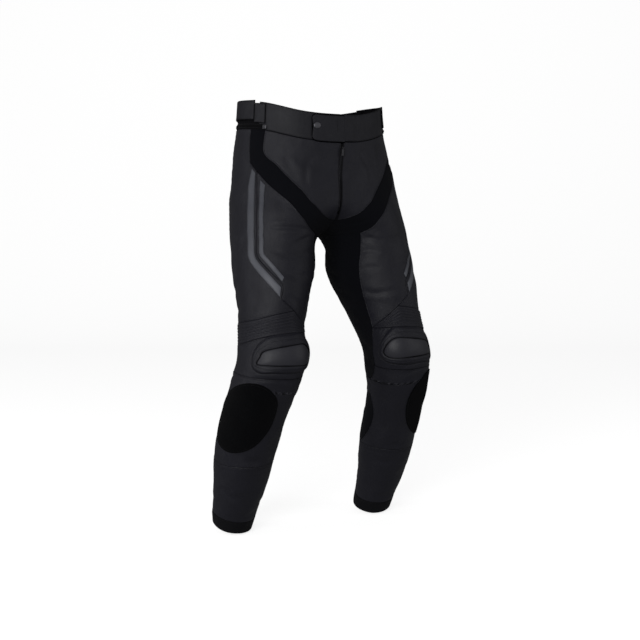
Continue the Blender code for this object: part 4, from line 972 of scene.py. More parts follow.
def metalMaterial(name, dark, light, rough):
    # Brass under a dark nickel finish: the eye sees soft grey highlights on rounded edges.
    material, tree, shader = newMaterial(name, {"Metallic": 1.0})
    wear = noise(tree, placeIn(tree), 700.0, 5.0)
    connect(tree, shader, {"Normal": bumpFrom(tree, wear, 0.25, 0.00004),
                           "Base Color": tint(tree, wear, dark, light),
                           "Roughness": ramp(tree, wear, 0.3, 0.7, rough - 0.06, rough + 0.08)})
    return material


def threadMaterial(name, dark, light):
    # Bonded polyester thread: the eye sees small black beads with a faint shine.
    material, tree, shader = newMaterial(name, {"Roughness": 0.7, "Specular IOR Level": 0.3})
    twist = noise(tree, placeIn(tree), 2400.0, 1.0)
    connect(tree, shader, {"Base Color": tint(tree, twist, dark, light)})
    return material


materials = {
    # edge sets how strongly each leather's rim is painted shade.
    "leather": leatherMaterial("cowhide_finished", "#1a1a22", "#22222c", 0.50),
    "knee_leather": leatherMaterial("cowhide_smooth_glazed", "#323238", "#3b3b42", 0.46,
                                    grain=2.0, depth=0.00007, edge=0.8),
    "cuff": leatherMaterial("cowhide_soft_matt", "#0b0b0f", "#111116", 0.62, specular=0.22),
    "band": leatherMaterial("cowhide_waistband", "#18181f", "#202028", 0.54, edge=0.85),
    # The tab's rim is painted shadow at full strength: the dark gap under its outline.
    "tab": leatherMaterial("cowhide_waistband_tab_shadowed", "#1a1a21", "#22222a", 0.54, edge=1.0),
    # The stripe's paler grey low down is painted light.
    "stripe": stripeMaterial("cowhide_grey_print", "#50525a", "#686a72", -0.250, -0.345, 0.45),
    "stretch": knitMaterial("knit_ribbed_elastic", "#0a0b10", "#101117"),
    "elastic": knitMaterial("elastic_woven_gathered", "#0a0a0d", "#131317", pitch=2.2),
    "zip_tape": knitMaterial("zip_tape_woven", "#0a0a0d", "#141418", pitch=0.9,
                             depth=0.0002, rough=0.8),
    "patch": pileMaterial("hook_and_loop_pile", "#050608", "#09090c"),
    "metal": metalMaterial("brass_dark_nickel", "#4a4a4e", "#6c6c70", 0.30),
    "cap": metalMaterial("brass_cap_brushed", "#6a6a70", "#86868c", 0.48),
    "teeth": metalMaterial("zip_teeth_dark", "#2c2c30", "#46464a", 0.35),
    "thread": threadMaterial("thread_bonded_black", "#0c0c10", "#15151a"),
}
print("materials made")


def sided(name, side):
    # The wearer's left is side 1, the right is side -1.
    return name + ("_L" if side > 0 else "_R")


def finishPiece(obj, material, nodes=()):
    obj.data.materials.clear()
    obj.data.materials.append(materials[material])
    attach(obj, "trousers")
    if nodes:
        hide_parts(*nodes)


def areaOf(grid):
    # Half the length of the cross product at two opposite corners of every cell.
    a = grid[1:, :-1] - grid[:-1, :-1]
    b = grid[:-1, 1:] - grid[:-1, :-1]
    c = grid[1:, 1:] - grid[1:, :-1]
    d = grid[1:, 1:] - grid[:-1, 1:]
    return (np.linalg.norm(np.cross(a, b), axis=-1).sum()
            + np.linalg.norm(np.cross(c, d), axis=-1).sum()) / 2


flatCut = {"shortest": 0.01, "leastShare": 0.31}


def sheetPiece(grid, around, drop, straight=False):
    # The flat cut of a piece: the box round its places laid flat, and its area, in metres. A
    # straight strip's box is measured along its own rows and columns.
    area = areaOf(grid)
    if straight:
        across, down, _ = lengthsOf(grid)
        width, length = float(np.max(across)), float(np.max(down))
    else:
        across = (around - np.mean(around)) * girthAt(drop)
        width, length = float(np.ptp(across)), float(np.ptp(drop))
    grow = math.sqrt(max(1.0, area / (width * length)))
    width = max(width * grow, flatCut["shortest"])
    length = max(length * grow, flatCut["shortest"])
    area = float(min(max(area, flatCut["leastShare"] * width * length), width * length))


def metricUv(across, down):
    # Real distances on the cloth: along each row from its middle, and down each column.
    middle = across[len(across) // 2][None]
    return np.stack([across - middle, down], -1)


def normalsOf(grid, outward):
    # Normals of a finished grid, from the cross product of its two tangents.
    a, b = np.gradient(grid, axis=0), np.gradient(grid, axis=1)
    normal = np.cross(a, b)
    size = np.linalg.norm(normal, axis=-1, keepdims=True)
    normal = np.where(size > 1e-14, normal / (size + 1e-20), outward)
    return normal * np.sign((normal * outward).sum(-1, keepdims=True) + 1e-12)


# Panels

ribs = {"count": 7, "height": 0.0015, "steepest": 0.42, "wobble": 0.02, "wobbleLength": 0.021,
        "sunk": 0.35, "acrossShare": 0.75, "downShare": 0.35, "relief": 0.25}
flySlit = {"half": 0.0022, "fade": 0.012, "end": 0.215}
stitchClear = 0.0015
panelSides = (("left", 0, False), ("right", 0, True), ("top", 1, False), ("bottom", 1, True))


def accordionRelief(t, across, down):
    # Ribs across the piece: |sin| of the share down it, each sewn low between two ribs and as
    # high as its width allows.
    wide = down[:, -1:] / ribs["count"]
    height = np.minimum(ribs["height"], wide * ribs["steepest"])
    wobble = ribs["wobble"] * np.sin(across / ribs["wobbleLength"])
    bulge = np.abs(np.sin(np.pi * ribs["count"] * (t + wobble / ribs["count"])))
    fade = np.clip(np.minimum(t, 1 - t) * ribs["count"] * 1.2, 0, 1)
    return height * (bulge ** 0.7 - ribs["sunk"]) * fade


def sidesOf(spec):
    # The four sides as lines. A side that is one place has shrunk to that point.
    sides = {}
    for key in ("top", "bottom", "left", "right"):
        value = spec[key]
        sides[key] = joinLine(value) if isinstance(value, list) else pointLine(value)
    for key, pace in zip(("left", "right"), spec["pace"]):
        if sides[key]["spans"]:
            sides[key] = paced(sides[key], pace)
    return sides


def sharesOf(sides, ribbed):
    # The shares across and down a panel, spaced by its real width and height.
    probe = np.linspace(0, 1, 41)
    place = coons(sides, *np.meshgrid(probe, probe, indexing="ij"))
    rough, _ = frameAt(place[..., 0], place[..., 1])
    across, down, _ = lengthsOf(rough)
    sharesAcross = spacing(across[-1].max(), detail["step"] * detail["acrossShare"])
    step = detail["step"]
    if ribbed:
        step = step * ribs["acrossShare"] * ribs["downShare"]
    return sharesAcross, spacing(down[:, -1].max(), step)


def makePanel(name, side):
    spec, label = panels[name], sided(name, side)
    ribbed = name == "accordion"
    sides = sidesOf(spec)
    shares = sharesOf(sides, ribbed)
    s, t = np.meshgrid(*shares, indexing="ij")
    place = coons(sides, s, t)
    u, drop = place[..., 0], place[..., 1]
    base, normal = frameAt(u, drop, side)
    across, down, sine = lengthsOf(base)
    reach = {"left": across * sine, "right": (across[-1:] - across) * sine,
             "top": down * sine, "bottom": (down[:, -1:] - down) * sine}
    relief = (waveField(base) + creaseField(u, drop, side)) * (ribs["relief"] if ribbed else 1)
    lift = np.full(s.shape, spec["lift"])
    for key, axis, _ in panelSides:
        if sides[key]["spans"]:
            f, along = ((t, down), (s, across))[axis]
            lift = lift + edgeShape(reach[key], along, sewnAlong(sides[key], f, spec["sewn"]))
    if ribbed:
        lift = lift + accordionRelief(t, across, down)
    final = base + normal * (lift + relief)[..., None]
    inner = base + normal * (spec["lift"] - spec["wall"] + relief)[..., None]
    if name == "front_panel":
        # The two front panels stand apart at the fly, by a gap that fades as a Gaussian.
        shift = flySlit["half"] * np.exp(-(reach["left"] / flySlit["fade"]) ** 2)
        for wall in (final, inner):
            wall[..., 0] += side * shift * (drop < flySlit["end"])
    obj = shell(label + "_cloth", final, inner, metricUv(across, down), normal)
    finishPiece(obj, spec["slot"], [label])
    sheetPiece(base, u, drop)
    sewPanel(spec, sides, reach, shares, final, normalsOf(final, normal))


def sewPanel(spec, sides, reach, shares, final, out):
    # The rows of stitches beside each sewn seam, kept clear of the panel's other edges.
    for key, axis, fromEnd in panelSides:
        f = shares[1 - axis]
        others = [reach[k] for k in reach if k != key and sides[k]["spans"]]
        clear = np.minimum.reduce(others)[..., None]
        for seam, a, b in sides[key]["spans"]:
            for offset in rowsOfStitches[:spec["sewn"].get(seam, 0)]:
                path, face = atDistance(final, out, reach[key], offset, axis, fromEnd)
                free, _ = atDistance(clear, out, reach[key], offset, axis, fromEnd)
                keep = (f >= a) & (f <= b) & (free[:, 0] > stitchClear)
                keepStitches("seams", path[keep], face[keep], detail["stitchPitch"])


# Knee cup, its inner panel and the piping

knee = {"centre": (0.240, 0.4945), "gap": 0.0004, "pitch": detail["stitchPitch"] * 0.9}
cup = {"height": 0.0036, "lift": 0.0002, "back": 0.0024, "rise": 0.009, "fallFrom": 0.62,
       "fall": 0.45, "grooveAt": 0.50, "groove": 0.0004, "grooveWidth": 0.0011, "row": 0.0036,
       "rowDip": 0.0006, "rowWidth": 0.0009, "waves": 0.4, "points": 190}
kneePad = {"inset": 0.0006, "lift": 0.0020, "dome": 0.0022, "edge": 0.0012, "edgeShare": 0.04,
           "back": 0.0018, "creases": 0.2, "waves": 0.25, "points": 130}
piping = {"outset": 0.0001, "lift": 0.0026, "radius": 0.0007}


def polarOf(corners, centre):
    # The distance of a closed line from a centre as a function of the angle round it.
    pts = smoothLine(corners)[:-1]
    flat = (pts - centre) * (0.5, 1)
    angle = np.arctan2(flat[:, 1], flat[:, 0])
    order = np.argsort(angle)
    angle, radius = angle[order], np.linalg.norm(flat, axis=1)[order]
    return (np.concatenate([angle - 2 * np.pi, angle, angle + 2 * np.pi]),
            np.concatenate([radius] * 3))


cupLine = polarOf(lines["underCup"][:-1] + lines["cupRound"], knee["centre"])
padLine = polarOf(lines["kneePanel"], knee["centre"])


def ringAngles(polar, count):
    # Angles that share the outer line's length equally, so that long sides get enough points.
    dense = np.linspace(-np.pi, np.pi, 2001)
    radius = np.interp(dense, *polar)
    pts = np.stack([np.cos(dense), np.sin(dense)], -1) * radius[:, None]
    reach = np.concatenate([[0], np.cumsum(np.linalg.norm(np.diff(pts, axis=0), axis=1))])
    return np.interp(np.linspace(0, reach[-1], count + 1)[:-1], reach, dense)


def kneePlace(angle, radius):
    # The place (u, drop) at an angle and a distance in drop from the knee's centre.
    return np.stack([knee["centre"][0] + np.cos(angle) * radius / 0.5,
                     knee["centre"][1] + np.sin(angle) * radius], -1)


def makeCup(side):
    # The pad rises steeply over its outer 9 mm, has one sewn groove half way in, and falls
    # off towards the piping by a square.
    label = sided("knee_cup", side)
    t = np.concatenate([[0, 0.012, 0.035, 0.07, 0.12, 0.18], np.linspace(0.24, 0.93, 16),
                        [0.97, 1]])
    a, r = np.meshgrid(ringAngles(cupLine, cup["points"]), t, indexing="ij")
    outer, inner = np.interp(a, *cupLine), np.interp(a, *padLine) + knee["gap"]
    place = kneePlace(a, outer * (1 - r) + inner * r)
    base, normal = frameAt(place[..., 0], place[..., 1], side)
    across, down, _ = lengthsOf(base)
    total = down[:, -1:]
    middle = down - total * cup["grooveAt"]
    rise = 1 - np.clip(1 - down / cup["rise"], 0, 1) ** 2.4
    beyond = (down - total * cup["fallFrom"]) / (total * (1 - cup["fallFrom"]))
    fall = 1 - cup["fall"] * np.clip(beyond, 0, 1) ** 2
    height = cup["height"] * rise * fall + grooved(middle, 0, cup["groove"], cup["grooveWidth"])
    height = height + grooved(down, cup["row"], cup["rowDip"], cup["rowWidth"])
    height = height + waveField(base) * cup["waves"] + cup["lift"]
    final = base + normal * height[..., None]
    obj = shell(label + "_pad", final, base - normal * cup["back"], metricUv(across, down),
                normal, closed=True)
    finishPiece(obj, "leather", [label])
    out = normalsOf(final, normal)
    sewRound("seams", final, out, down, cup["row"], knee["pitch"])
    sewRound("seams", final, out, middle, 0, knee["pitch"])


def makeKneePad(side):
    # The inner panel: a low dome, (1 - (1 - r)^2)^0.8 of the share r in from its edge.
    label = sided("knee_panel", side)
    t = np.concatenate([[0, 0.02, 0.06, 0.12, 0.2], np.linspace(0.3, 1, 14)])
    a, r = np.meshgrid(ringAngles(padLine, kneePad["points"]), t, indexing="ij")
    place = kneePlace(a, (np.interp(a, *padLine) - kneePad["inset"]) * (1 - r))
    base, normal = frameAt(place[..., 0], place[..., 1], side)
    dome = kneePad["lift"] + kneePad["dome"] * (1 - (1 - r) ** 2) ** 0.8
    dome = dome + rolled(r, kneePad["edge"], kneePad["edgeShare"])
    dome = dome + creaseField(place[..., 0], place[..., 1], side) * kneePad["creases"]
    dome = dome + waveField(base) * kneePad["waves"]
    across, down, _ = lengthsOf(base)
    obj = shell(label + "_pad", base + normal * dome[..., None], base - normal * kneePad["back"],
                metricUv(across, down), normal, closed=True, gap=down)
    finishPiece(obj, "knee_leather", [label])


def makePiping(side):
    angle = ringAngles(padLine, kneePad["points"])
    place = kneePlace(angle, np.interp(angle, *padLine) + piping["outset"])
    point, normal = frameAt(place[:, 0], place[:, 1], side)
    cord = closedCord(sided("knee_piping", side), point + normal * piping["lift"],
                      piping["radius"])
    finishPiece(cord, "cuff")


for side in (1, -1):
    makeCup(side)
    makeKneePad(side)
    makePiping(side)
print("knees made")


# Knee slider patches

slider = {"u": 0.372, "drop": 0.622, "halfU": 0.168, "halfDrop": 0.077, "leanU": 0.025,
          "lift": 0.0023, "back": 0.0002, "edge": 0.0014, "edgeWidth": 0.0016, "row": 0.0042,
          "rowDip": 0.0007, "rowWidth": 0.0011, "creases": 0.6, "pitch": 0.0036, "points": 150}


def makeSlider(side):
    # A leaning oval: rings that shrink to the middle; its edge is bound and sewn down.
    label = sided("knee_slider_patch", side)
    theta = np.linspace(0, 2 * np.pi, slider["points"], endpoint=False)
    t = np.concatenate([[0, 0.006, 0.015, 0.03, 0.045, 0.06, 0.08, 0.11],
                        np.linspace(0.14, 1, 26)])
    a, r = np.meshgrid(theta, t, indexing="ij")
    u = slider["u"] + (slider["halfU"] * np.cos(a) + slider["leanU"] * np.sin(a)) * (1 - r)
    drop = slider["drop"] + slider["halfDrop"] * np.sin(a) * (1 - r)
    base, normal = frameAt(u, drop, side)
    across, down, _ = lengthsOf(base)
    relief = waveField(base) + creaseField(u, drop, side) * slider["creases"]
    lift = slider["lift"] + rolled(down, slider["edge"], slider["edgeWidth"])
    lift = lift + grooved(down, slider["row"], slider["rowDip"], slider["rowWidth"])
    final = base + normal * (lift + relief)[..., None]
    inner = base + normal * (slider["back"] + relief)[..., None]
    obj = shell(label + "_cloth", final, inner, metricUv(across, down), normal, closed=True,
                gap=down)
    finishPiece(obj, "patch", [label])
    sheetPiece(np.concatenate([base, base[:1]]), u, drop)
    sewRound("seams", final, normalsOf(final, normal), down, slider["row"], slider["pitch"])


for side in (1, -1):
    makeSlider(side)
print("slider patches made")


# Stripes

# The outer and the inner edge of each stripe, and the drops of the cross lines on it.
stripes = {
    "stripe_outer": ([(0.369, 0.1150), (0.384, 0.139), (0.397, 0.184), (0.408, 0.218),
                      (0.4195, 0.245), (0.4295, 0.257), (0.428, 0.270), (0.422, 0.290),
                      (0.408, 0.312), (0.378, 0.333), (0.320, 0.364), (0.258, 0.393)],
                     [(0.347, 0.1250), (0.348, 0.149), (0.355, 0.184), (0.368, 0.218),
                      (0.3865, 0.246), (0.400, 0.2565), (0.3985, 0.271), (0.3925, 0.290),
                      (0.380, 0.310), (0.357, 0.326), (0.308, 0.351), (0.2605, 0.374)], ()),
    "stripe_inner": ([(0.318, 0.1390), (0.323, 0.161), (0.331, 0.189), (0.346, 0.218),
                      (0.3655, 0.246), (0.382, 0.257), (0.3785, 0.271), (0.3735, 0.290),
                      (0.362, 0.307), (0.341, 0.3195), (0.302, 0.3405), (0.260, 0.3630)],
                     [(0.292, 0.1500), (0.300, 0.171), (0.309, 0.194), (0.324, 0.219),
                      (0.3455, 0.246), (0.364, 0.2575), (0.3605, 0.272), (0.3555, 0.288),
                      (0.347, 0.303), (0.327, 0.315), (0.292, 0.334), (0.255, 0.3540)],
                     (0.166, 0.190, 0.220, 0.246, 0.301)),
}
ribbon = {"step": 0.0028, "width": 0.014, "acrossStep": 0.0024, "lift": 0.0013, "back": 0.0001,
          "edge": 0.0007, "edgeWidth": 0.0012, "row": 0.0020, "rowDip": 0.0003,
          "rowWidth": 0.0006, "crossDip": 0.0005, "crossWidth": 0.0011, "pitch": 0.0032}


def edgeLine(corners):
    # A smooth edge whose share f runs evenly from corner to corner.
    pts = smoothLine(corners)
    knots = [int(np.argmin(np.linalg.norm(pts - corner, axis=1))) for corner in corners]
    f = np.interp(np.arange(len(pts)), knots, np.linspace(0, 1, len(knots)))
    return {"pts": pts, "f": f}


def makeStripe(name, side):
    # A ribbon ruled between its two edges, each read at the same share of its corners.
    outerCorners, innerCorners, crossLines = stripes[name]
    label = sided(name, side)
    outerEdge, innerEdge = edgeLine(outerCorners), edgeLine(innerCorners)
    probe = np.linspace(0, 1, 400)
    middle = (lineAt(outerEdge, probe) + lineAt(innerEdge, probe)) / 2 * (0.5, 1)
    reach = np.concatenate([[0], np.cumsum(np.linalg.norm(np.diff(middle, axis=0), axis=1))])
    f = np.interp(spacing(reach[-1], ribbon["step"]) * reach[-1], reach, probe)
    t = spacing(ribbon["width"], ribbon["acrossStep"])[:, None]
    place = np.stack([lineAt(outerEdge, f) * (1 - k) + lineAt(innerEdge, f) * k for k in t], 1)
    base, normal = frameAt(place[..., 0], place[..., 1], side)
    relief = waveField(base) + creaseField(place[..., 0], place[..., 1], side)
    rows, columns, _ = lengthsOf(base)
    gap = edgeGap(rows, columns)
    lift = ribbon["lift"] + rolled(gap, ribbon["edge"], ribbon["edgeWidth"])
    lift = lift + grooved(gap, ribbon["row"], ribbon["rowDip"], ribbon["rowWidth"])
    for line in crossLines:
        lift = lift + grooved(place[..., 1], line, ribbon["crossDip"], ribbon["crossWidth"])
    final = base + normal * (lift + relief)[..., None]
    inner = base + normal * (ribbon["back"] + relief)[..., None]
    obj = shell(label + "_cloth", final, inner, metricUv(rows, columns), normal)
    finishPiece(obj, "stripe", [label])
    out = normalsOf(final, normal)
    for fromEnd, distance in ((False, columns), (True, columns[:, -1:] - columns)):
        sewStraight("stripes", final, out, distance, ribbon["row"], 1, fromEnd, ribbon["pitch"])


for stripeName in stripes:
    for side in (1, -1):
        makeStripe(stripeName, side)
print("stripes made")


# Waist and hems

waist = {"top": -0.022, "low": 0.0338, "gap": 0.0003, "band": 0.0026, "frontEnd": 0.345,
         "backStart": 0.620, "strapStart": 0.3758, "strapEnd": 0.665, "strapTop": -0.025,
         "strapBottom": 0.015, "strapRise": 0.0035, "baseStart": 0.302, "baseEnd": 0.3750,
         "baseTop": -0.019, "baseBottom": 0.021, "elasticTop": -0.010, "tabRight": 0.0781,
         "tabLeft": 0.0008, "tabTop": -0.020, "tabBottom": 0.0365, "tabRound": 0.010,
         "tabBlend": 0.055, "zipStart": 0.318, "zipTop": 0.0225, "zipBottom": 0.0325}
onBand = waist["gap"] + waist["band"]
# The two rim widths set how far the painted shade reaches in from a strip's edges, the wider one
# on the tab.
stripShape = {"downStep": 0.0028, "edgeWidth": 0.0018, "rowDip": 0.00035,
              "rowWidth": 0.0008, "waves": 0.45, "rim": 0.0020, "tabShadowRim": 0.0032}


def stripFrame(w, drop):
    # w below 0 is the wearer's right, and above 1 it goes on round the back to the right.
    u = np.where(np.abs(w) <= 1, np.abs(w), 2 - np.abs(w))
    flip = np.where((w < 0) | (w > 1), -1.0, 1.0)
    point, normal = frameAt(u, drop)
    mirror = np.stack([flip, np.ones_like(flip), np.ones_like(flip)], -1)
    return point * mirror, normal * mirror


def makeStrip(node, suffix, span, drops, lift, wall=waist["band"], material="band",
              relief=None, sewn=(0.0030,), step=detail["bandStep"],
              ends=(False, False), edgeDepth=0.0011, flush=None):
    # A strip along the waist: rows from one end of its span to the other, columns from its top
    # to its bottom. ends tells which ends are sewn, and flush names an end (0 or 1) that runs
    # on level into the next piece, without an edge.
    probe = span[0] + (span[1] - span[0]) * np.linspace(0, 1, 4000)
    line, _ = stripFrame(probe, np.zeros(4000))
    reach = np.append(0, np.cumsum(np.linalg.norm(np.diff(line, axis=0), axis=1)))
    ws = np.interp(spacing(reach[-1], step) * reach[-1], reach, probe)
    top, bottom = [edge(ws) if callable(edge) else np.full(ws.shape, edge) for edge in drops]
    t = spacing(float(np.max(bottom - top)), stripShape["downStep"])
    drop = top[:, None] + (bottom - top)[:, None] * t[None]
    w = np.repeat(ws[:, None], len(t), axis=1)
    base, normal = stripFrame(w, drop)
    across, down, _ = lengthsOf(base)
    gap = edgeGap(across, down, flush)
    lifts = waveField(base) * stripShape["waves"] + (lift(w) if callable(lift) else lift)
    if relief:
        lifts = lifts + relief(w, across, down)
    height = rolled(gap, edgeDepth, stripShape["edgeWidth"])
    for offset in sewn:
        height = height + grooved(gap, offset, stripShape["rowDip"], stripShape["rowWidth"])
    final = base + normal * (lifts + height)[..., None]
    inner = base + normal * (lifts - wall)[..., None]
    # The tab's wider rim carries the painted shadow round its outline.
    obj = shell(node + "_" + suffix, final, inner, metricUv(across, down), normal, gap=gap,
                rimWidth=stripShape["tabShadowRim"] if material == "tab" else stripShape["rim"])
    if flush is not None:
        obj.data.set_sharp_from_angle(angle=1.0)
    finishPiece(obj, material, [node])
    sheetPiece(base, w, drop, straight=True)
    out = normalsOf(final, normal)
    rows = [(down, 1, False), (down[:, -1:] - down, 1, True)]
    rows += [(across, 0, False)] if ends[0] else []
    rows += [(across[-1:] - across, 0, True)] if ends[1] else []
    for offset in sewn:
        for distance, axis, fromEnd in rows:
            sewStraight("band", final, out, distance, offset, axis, fromEnd,
                        detail["stitchPitch"])


def gathers(w, across, down):
    # Elastic gathers: short vertical folds about 7 mm apart, lower near the two edges. The
    # fold is a sine of the length along the strip, with a slow sine drift.
    wave = np.sin(across / 0.0011 + 1.6 * np.sin(across / 0.017))
    return 0.0010 * wave * (0.45 + 0.55 * np.clip(sideGap(down) / 0.005, 0, 1))


def strapLift(w):
    # The strap stands off the elastic between its two sewn ends by a sine squared.
    t = (np.abs(w) - waist["strapStart"]) / (waist["strapEnd"] - waist["strapStart"])
    return onBand + waist["strapRise"] * np.sin(np.pi * np.clip(t, 0, 1)) ** 2


def tabInset(w):
    # The tab's free end has round corners: the circle's height at each place.
    reach = (w + waist["tabRight"]) * 0.5
    r = waist["tabRound"]
    return np.where(reach >= r, 0, r - np.sqrt(np.maximum(r ** 2 - (r - reach) ** 2, 0)))


def tabTop(w):
    return waist["tabTop"] + tabInset(w)


def tabBottom(w):
    return waist["tabBottom"] - tabInset(w)


def bandRise(w, across, down):
    # The left band rises to the tab's level at the fly, where the two are one layer.
    return onBand * ease(1 - (w - waist["tabLeft"]) / waist["tabBlend"])


def makeWaist():
    gap, band = waist["gap"], (waist["top"], waist["low"])
    makeStrip("waistband_front_L", "band", (waist["tabLeft"] + 0.0001, waist["frontEnd"] - gap),
              band, 0.0, relief=bandRise, flush=0)
    makeStrip("waistband_front_R", "band", (-gap, gap - waist["frontEnd"]), band, 0.0)
    for side in (1, -1):
        makeStrip(sided("waist_elastic", side), "cloth",
                  ((waist["frontEnd"] + gap) * side, (waist["backStart"] - gap) * side),
                  (waist["elasticTop"], waist["low"]), -0.0008, wall=0.0013,
                  material="elastic", relief=gathers, sewn=(), step=0.0011,
                  edgeDepth=0.0004)
        makeStrip(sided("waist_strap", side), "strap",
                  (waist["strapStart"] * side, waist["strapEnd"] * side),
                  (waist["strapTop"], waist["strapBottom"]), strapLift, ends=(True, True))
        makeStrip(sided("strap_base", side), "strap",
                  (waist["baseStart"] * side, waist["baseEnd"] * side),
                  (waist["baseTop"], waist["baseBottom"]), onBand, ends=(True, True))
    makeStrip("waistband_back", "band", (waist["backStart"] + gap, 2 - waist["backStart"] - gap),
              band, 0.0)
    makeStrip("connection_zip", "tape", (waist["zipStart"], 2 - waist["zipStart"]),
              (waist["zipTop"], waist["zipBottom"]), 0.0014, wall=0.0012, material="zip_tape",
              sewn=(0.0012,), edgeDepth=0.0003)
    makeStrip("waist_tab", "band", (0.0002 - waist["tabRight"], waist["tabLeft"]),
              (tabTop, tabBottom), onBand, material="tab", ends=(True, False), flush=1)


makeWaist()

cuff = {"top": 0.862, "height": 0.030, "start": -0.1, "points": 110, "downStep": 0.0026,
        "lift": 0.0006, "back": 0.0020, "edge": 0.0012, "edgeWidth": 0.0018, "topRow": 0.0030,
        "topDip": 0.0005, "topWidth": 0.0008, "hemRow": 0.0070, "hemDip": 0.0004,
        "hemWidth": 0.0009, "ripple": 0.0004}


def makeCuff(side):
    # A ring round the ankle: rows go once round the leg, columns down to the hem. Its ripple
    # is a sine of the length round it, with a slow sine drift.
    label = sided("hem_cuff", side)
    u = np.linspace(cuff["start"], cuff["start"] + 1, cuff["points"], endpoint=False)
    t = spacing(cuff["height"], cuff["downStep"])
    w, share = np.meshgrid(u, t, indexing="ij")
    drop = cuff["top"] + cuff["height"] * share
    base, normal = frameAt(w, drop, side)
    across, down, _ = lengthsOf(base)
    up = down[:, -1:] - down
    gap = sideGap(down)
    height = cuff["lift"] + rolled(gap, cuff["edge"], cuff["edgeWidth"]) + waveField(base)
    height = height + grooved(down, cuff["topRow"], cuff["topDip"], cuff["topWidth"])
    height = height + grooved(up, cuff["hemRow"], cuff["hemDip"], cuff["hemWidth"])
    ripple = np.sin(across / 0.0042 + 2 * np.sin(across / 0.013))
    height = height + cuff["ripple"] * ripple * np.clip(gap / 0.006, 0, 1)
    final = base + normal * height[..., None]
    inner = base + normal * (waveField(base) - cuff["back"])[..., None]
    obj = shell(label + "_cloth", final, inner, metricUv(across, down), normal, closed=True)
    finishPiece(obj, "cuff", [label])
    sheetPiece(np.concatenate([base, base[:1]]), w, drop)
    out = normalsOf(final, normal)
    sewRound("band", final, out, down, cuff["topRow"], detail["stitchPitch"])
    sewRound("band", final, out, up, cuff["hemRow"], detail["stitchPitch"], fromEnd=True)


for side in (1, -1):
    makeCuff(side)
print("waist and hems made")


# Zips

tooth = {"corner": 0.55, "endShare": 0.72, "bodyShare": 0.7}
connection = {"count": 250, "startGap": 0.012, "endGap": 0.006, "rise": 0.0019,
              "size": (0.0021, 0.00085, 0.0007)}
flyZip = {"top": 0.0355, "length": 0.177, "rowStep": 0.0030, "half": 0.0110, "lift": -0.0029,
          "wall": 0.0010, "teethTop": 0.0600, "teethEnd": 0.2085, "pitch": 0.0025,
          "rise": 0.0007, "apart": 0.0007, "size": (0.0013, 0.0007, 0.0006)}
flyEnd = {"half": 0.0035, "top": 0.2140, "bottom": 0.2265, "lift": 0.0016, "back": 0.0004,
          "edge": 0.0008, "edgeWidth": 0.0012}


def teethAt(name, places, ways, outs, size, material):
    # Small bevelled blocks: an eight-sided outline, narrower at the block's two faces. size is
    # half the width across the zip, half the length along it and half the height.
    c = tooth["corner"]
    outline = np.array([(-1, -c), (-c, -1), (c, -1), (1, -c), (1, c), (c, 1), (-c, 1), (-1, c)])
    levels = np.array([(-1.0, tooth["endShare"]), (-tooth["bodyShare"], 1.0),
                       (tooth["bodyShare"], 1.0), (1.0, tooth["endShare"])])
    flat = levels[:, 1][:, None, None] * outline
    sides = np.cross(ways, outs)
    rings = (places[:, None, None] + sides[:, None, None] * flat[None, :, :, :1] * size[0]
             + ways[:, None, None] * flat[None, :, :, 1:] * size[1]
             + outs[:, None, None] * levels[None, :, 0, None, None] * size[2])
    finishPiece(beads(name, rings), material)


def wayAlong(point):
    way = np.gradient(point, axis=0)
    return way / np.linalg.norm(way, axis=1, keepdims=True)


def makeConnectionTeeth():
    w = np.linspace(waist["zipStart"] + connection["startGap"],
                    2 - waist["zipStart"] - connection["endGap"], connection["count"])
    point, normal = stripFrame(w, np.full(w.shape, (waist["zipTop"] + waist["zipBottom"]) / 2))
    point = point + normal * waveField(point)[..., None] * stripShape["waves"]
    teethAt("connection_zip_teeth", point + normal * connection["rise"], wayAlong(point), normal,
            connection["size"], "zip_tape")


def flyGrid(half, count, drops):
    # A grid that is centred on the fly: near the middle the width grows as a square root.
    x = np.linspace(-half, half, count)
    w = np.sign(x) * (np.sqrt(x ** 2 + body["forkRound"] ** 2) - body["forkRound"]) / 0.5
    return np.meshgrid(w, drops, indexing="ij")


def makeFlyTape():
    # The tape runs down the middle behind the slit; the teeth mesh in turn on its centre.
    rows = spacing(flyZip["length"], flyZip["rowStep"])
    wide, drop = flyGrid(flyZip["half"], 9, flyZip["top"] + flyZip["length"] * rows)
    base, normal = stripFrame(wide, drop)
    across, down, _ = lengthsOf(base)
    obj = shell("fly_zip_tape", base + normal * flyZip["lift"],
                base + normal * (flyZip["lift"] - flyZip["wall"]), metricUv(across, down), normal)
    finishPiece(obj, "zip_tape", ["fly_zip"])
    sheetPiece(base, wide, drop, straight=True)
    for number, way in ((0, -1), (1, 1)):
        drops = np.arange(flyZip["teethTop"] + number * flyZip["pitch"] / 2,
                          flyZip["teethEnd"], flyZip["pitch"])
        point, out = frameAt(np.zeros_like(drops), drops)
        place = point + out * (flyZip["lift"] + flyZip["rise"])
        place[:, 0] += way * flyZip["apart"]
        teethAt("fly_zip_teeth_" + "ab"[number], place, wayAlong(point), out, flyZip["size"],
                "teeth")


def makeFlyEnd():
    wide, drop = flyGrid(flyEnd["half"], 7, np.linspace(flyEnd["top"], flyEnd["bottom"], 10))
    base, normal = stripFrame(wide, drop)
    across, down, _ = lengthsOf(base)
    lift = flyEnd["lift"] + rolled(edgeGap(across, down), flyEnd["edge"], flyEnd["edgeWidth"])
    obj = shell("fly_end_tab_cloth", base + normal * lift[..., None],
                base + normal * flyEnd["back"], metricUv(across, down), normal)
    finishPiece(obj, "stretch", ["fly_end_tab"])


makeConnectionTeeth()
makeFlyTape()
makeFlyEnd()

for panelName in panels:
    for side in (1, -1):
        makePanel(panelName, side)
print("panels made")


# Snap and the other hardware

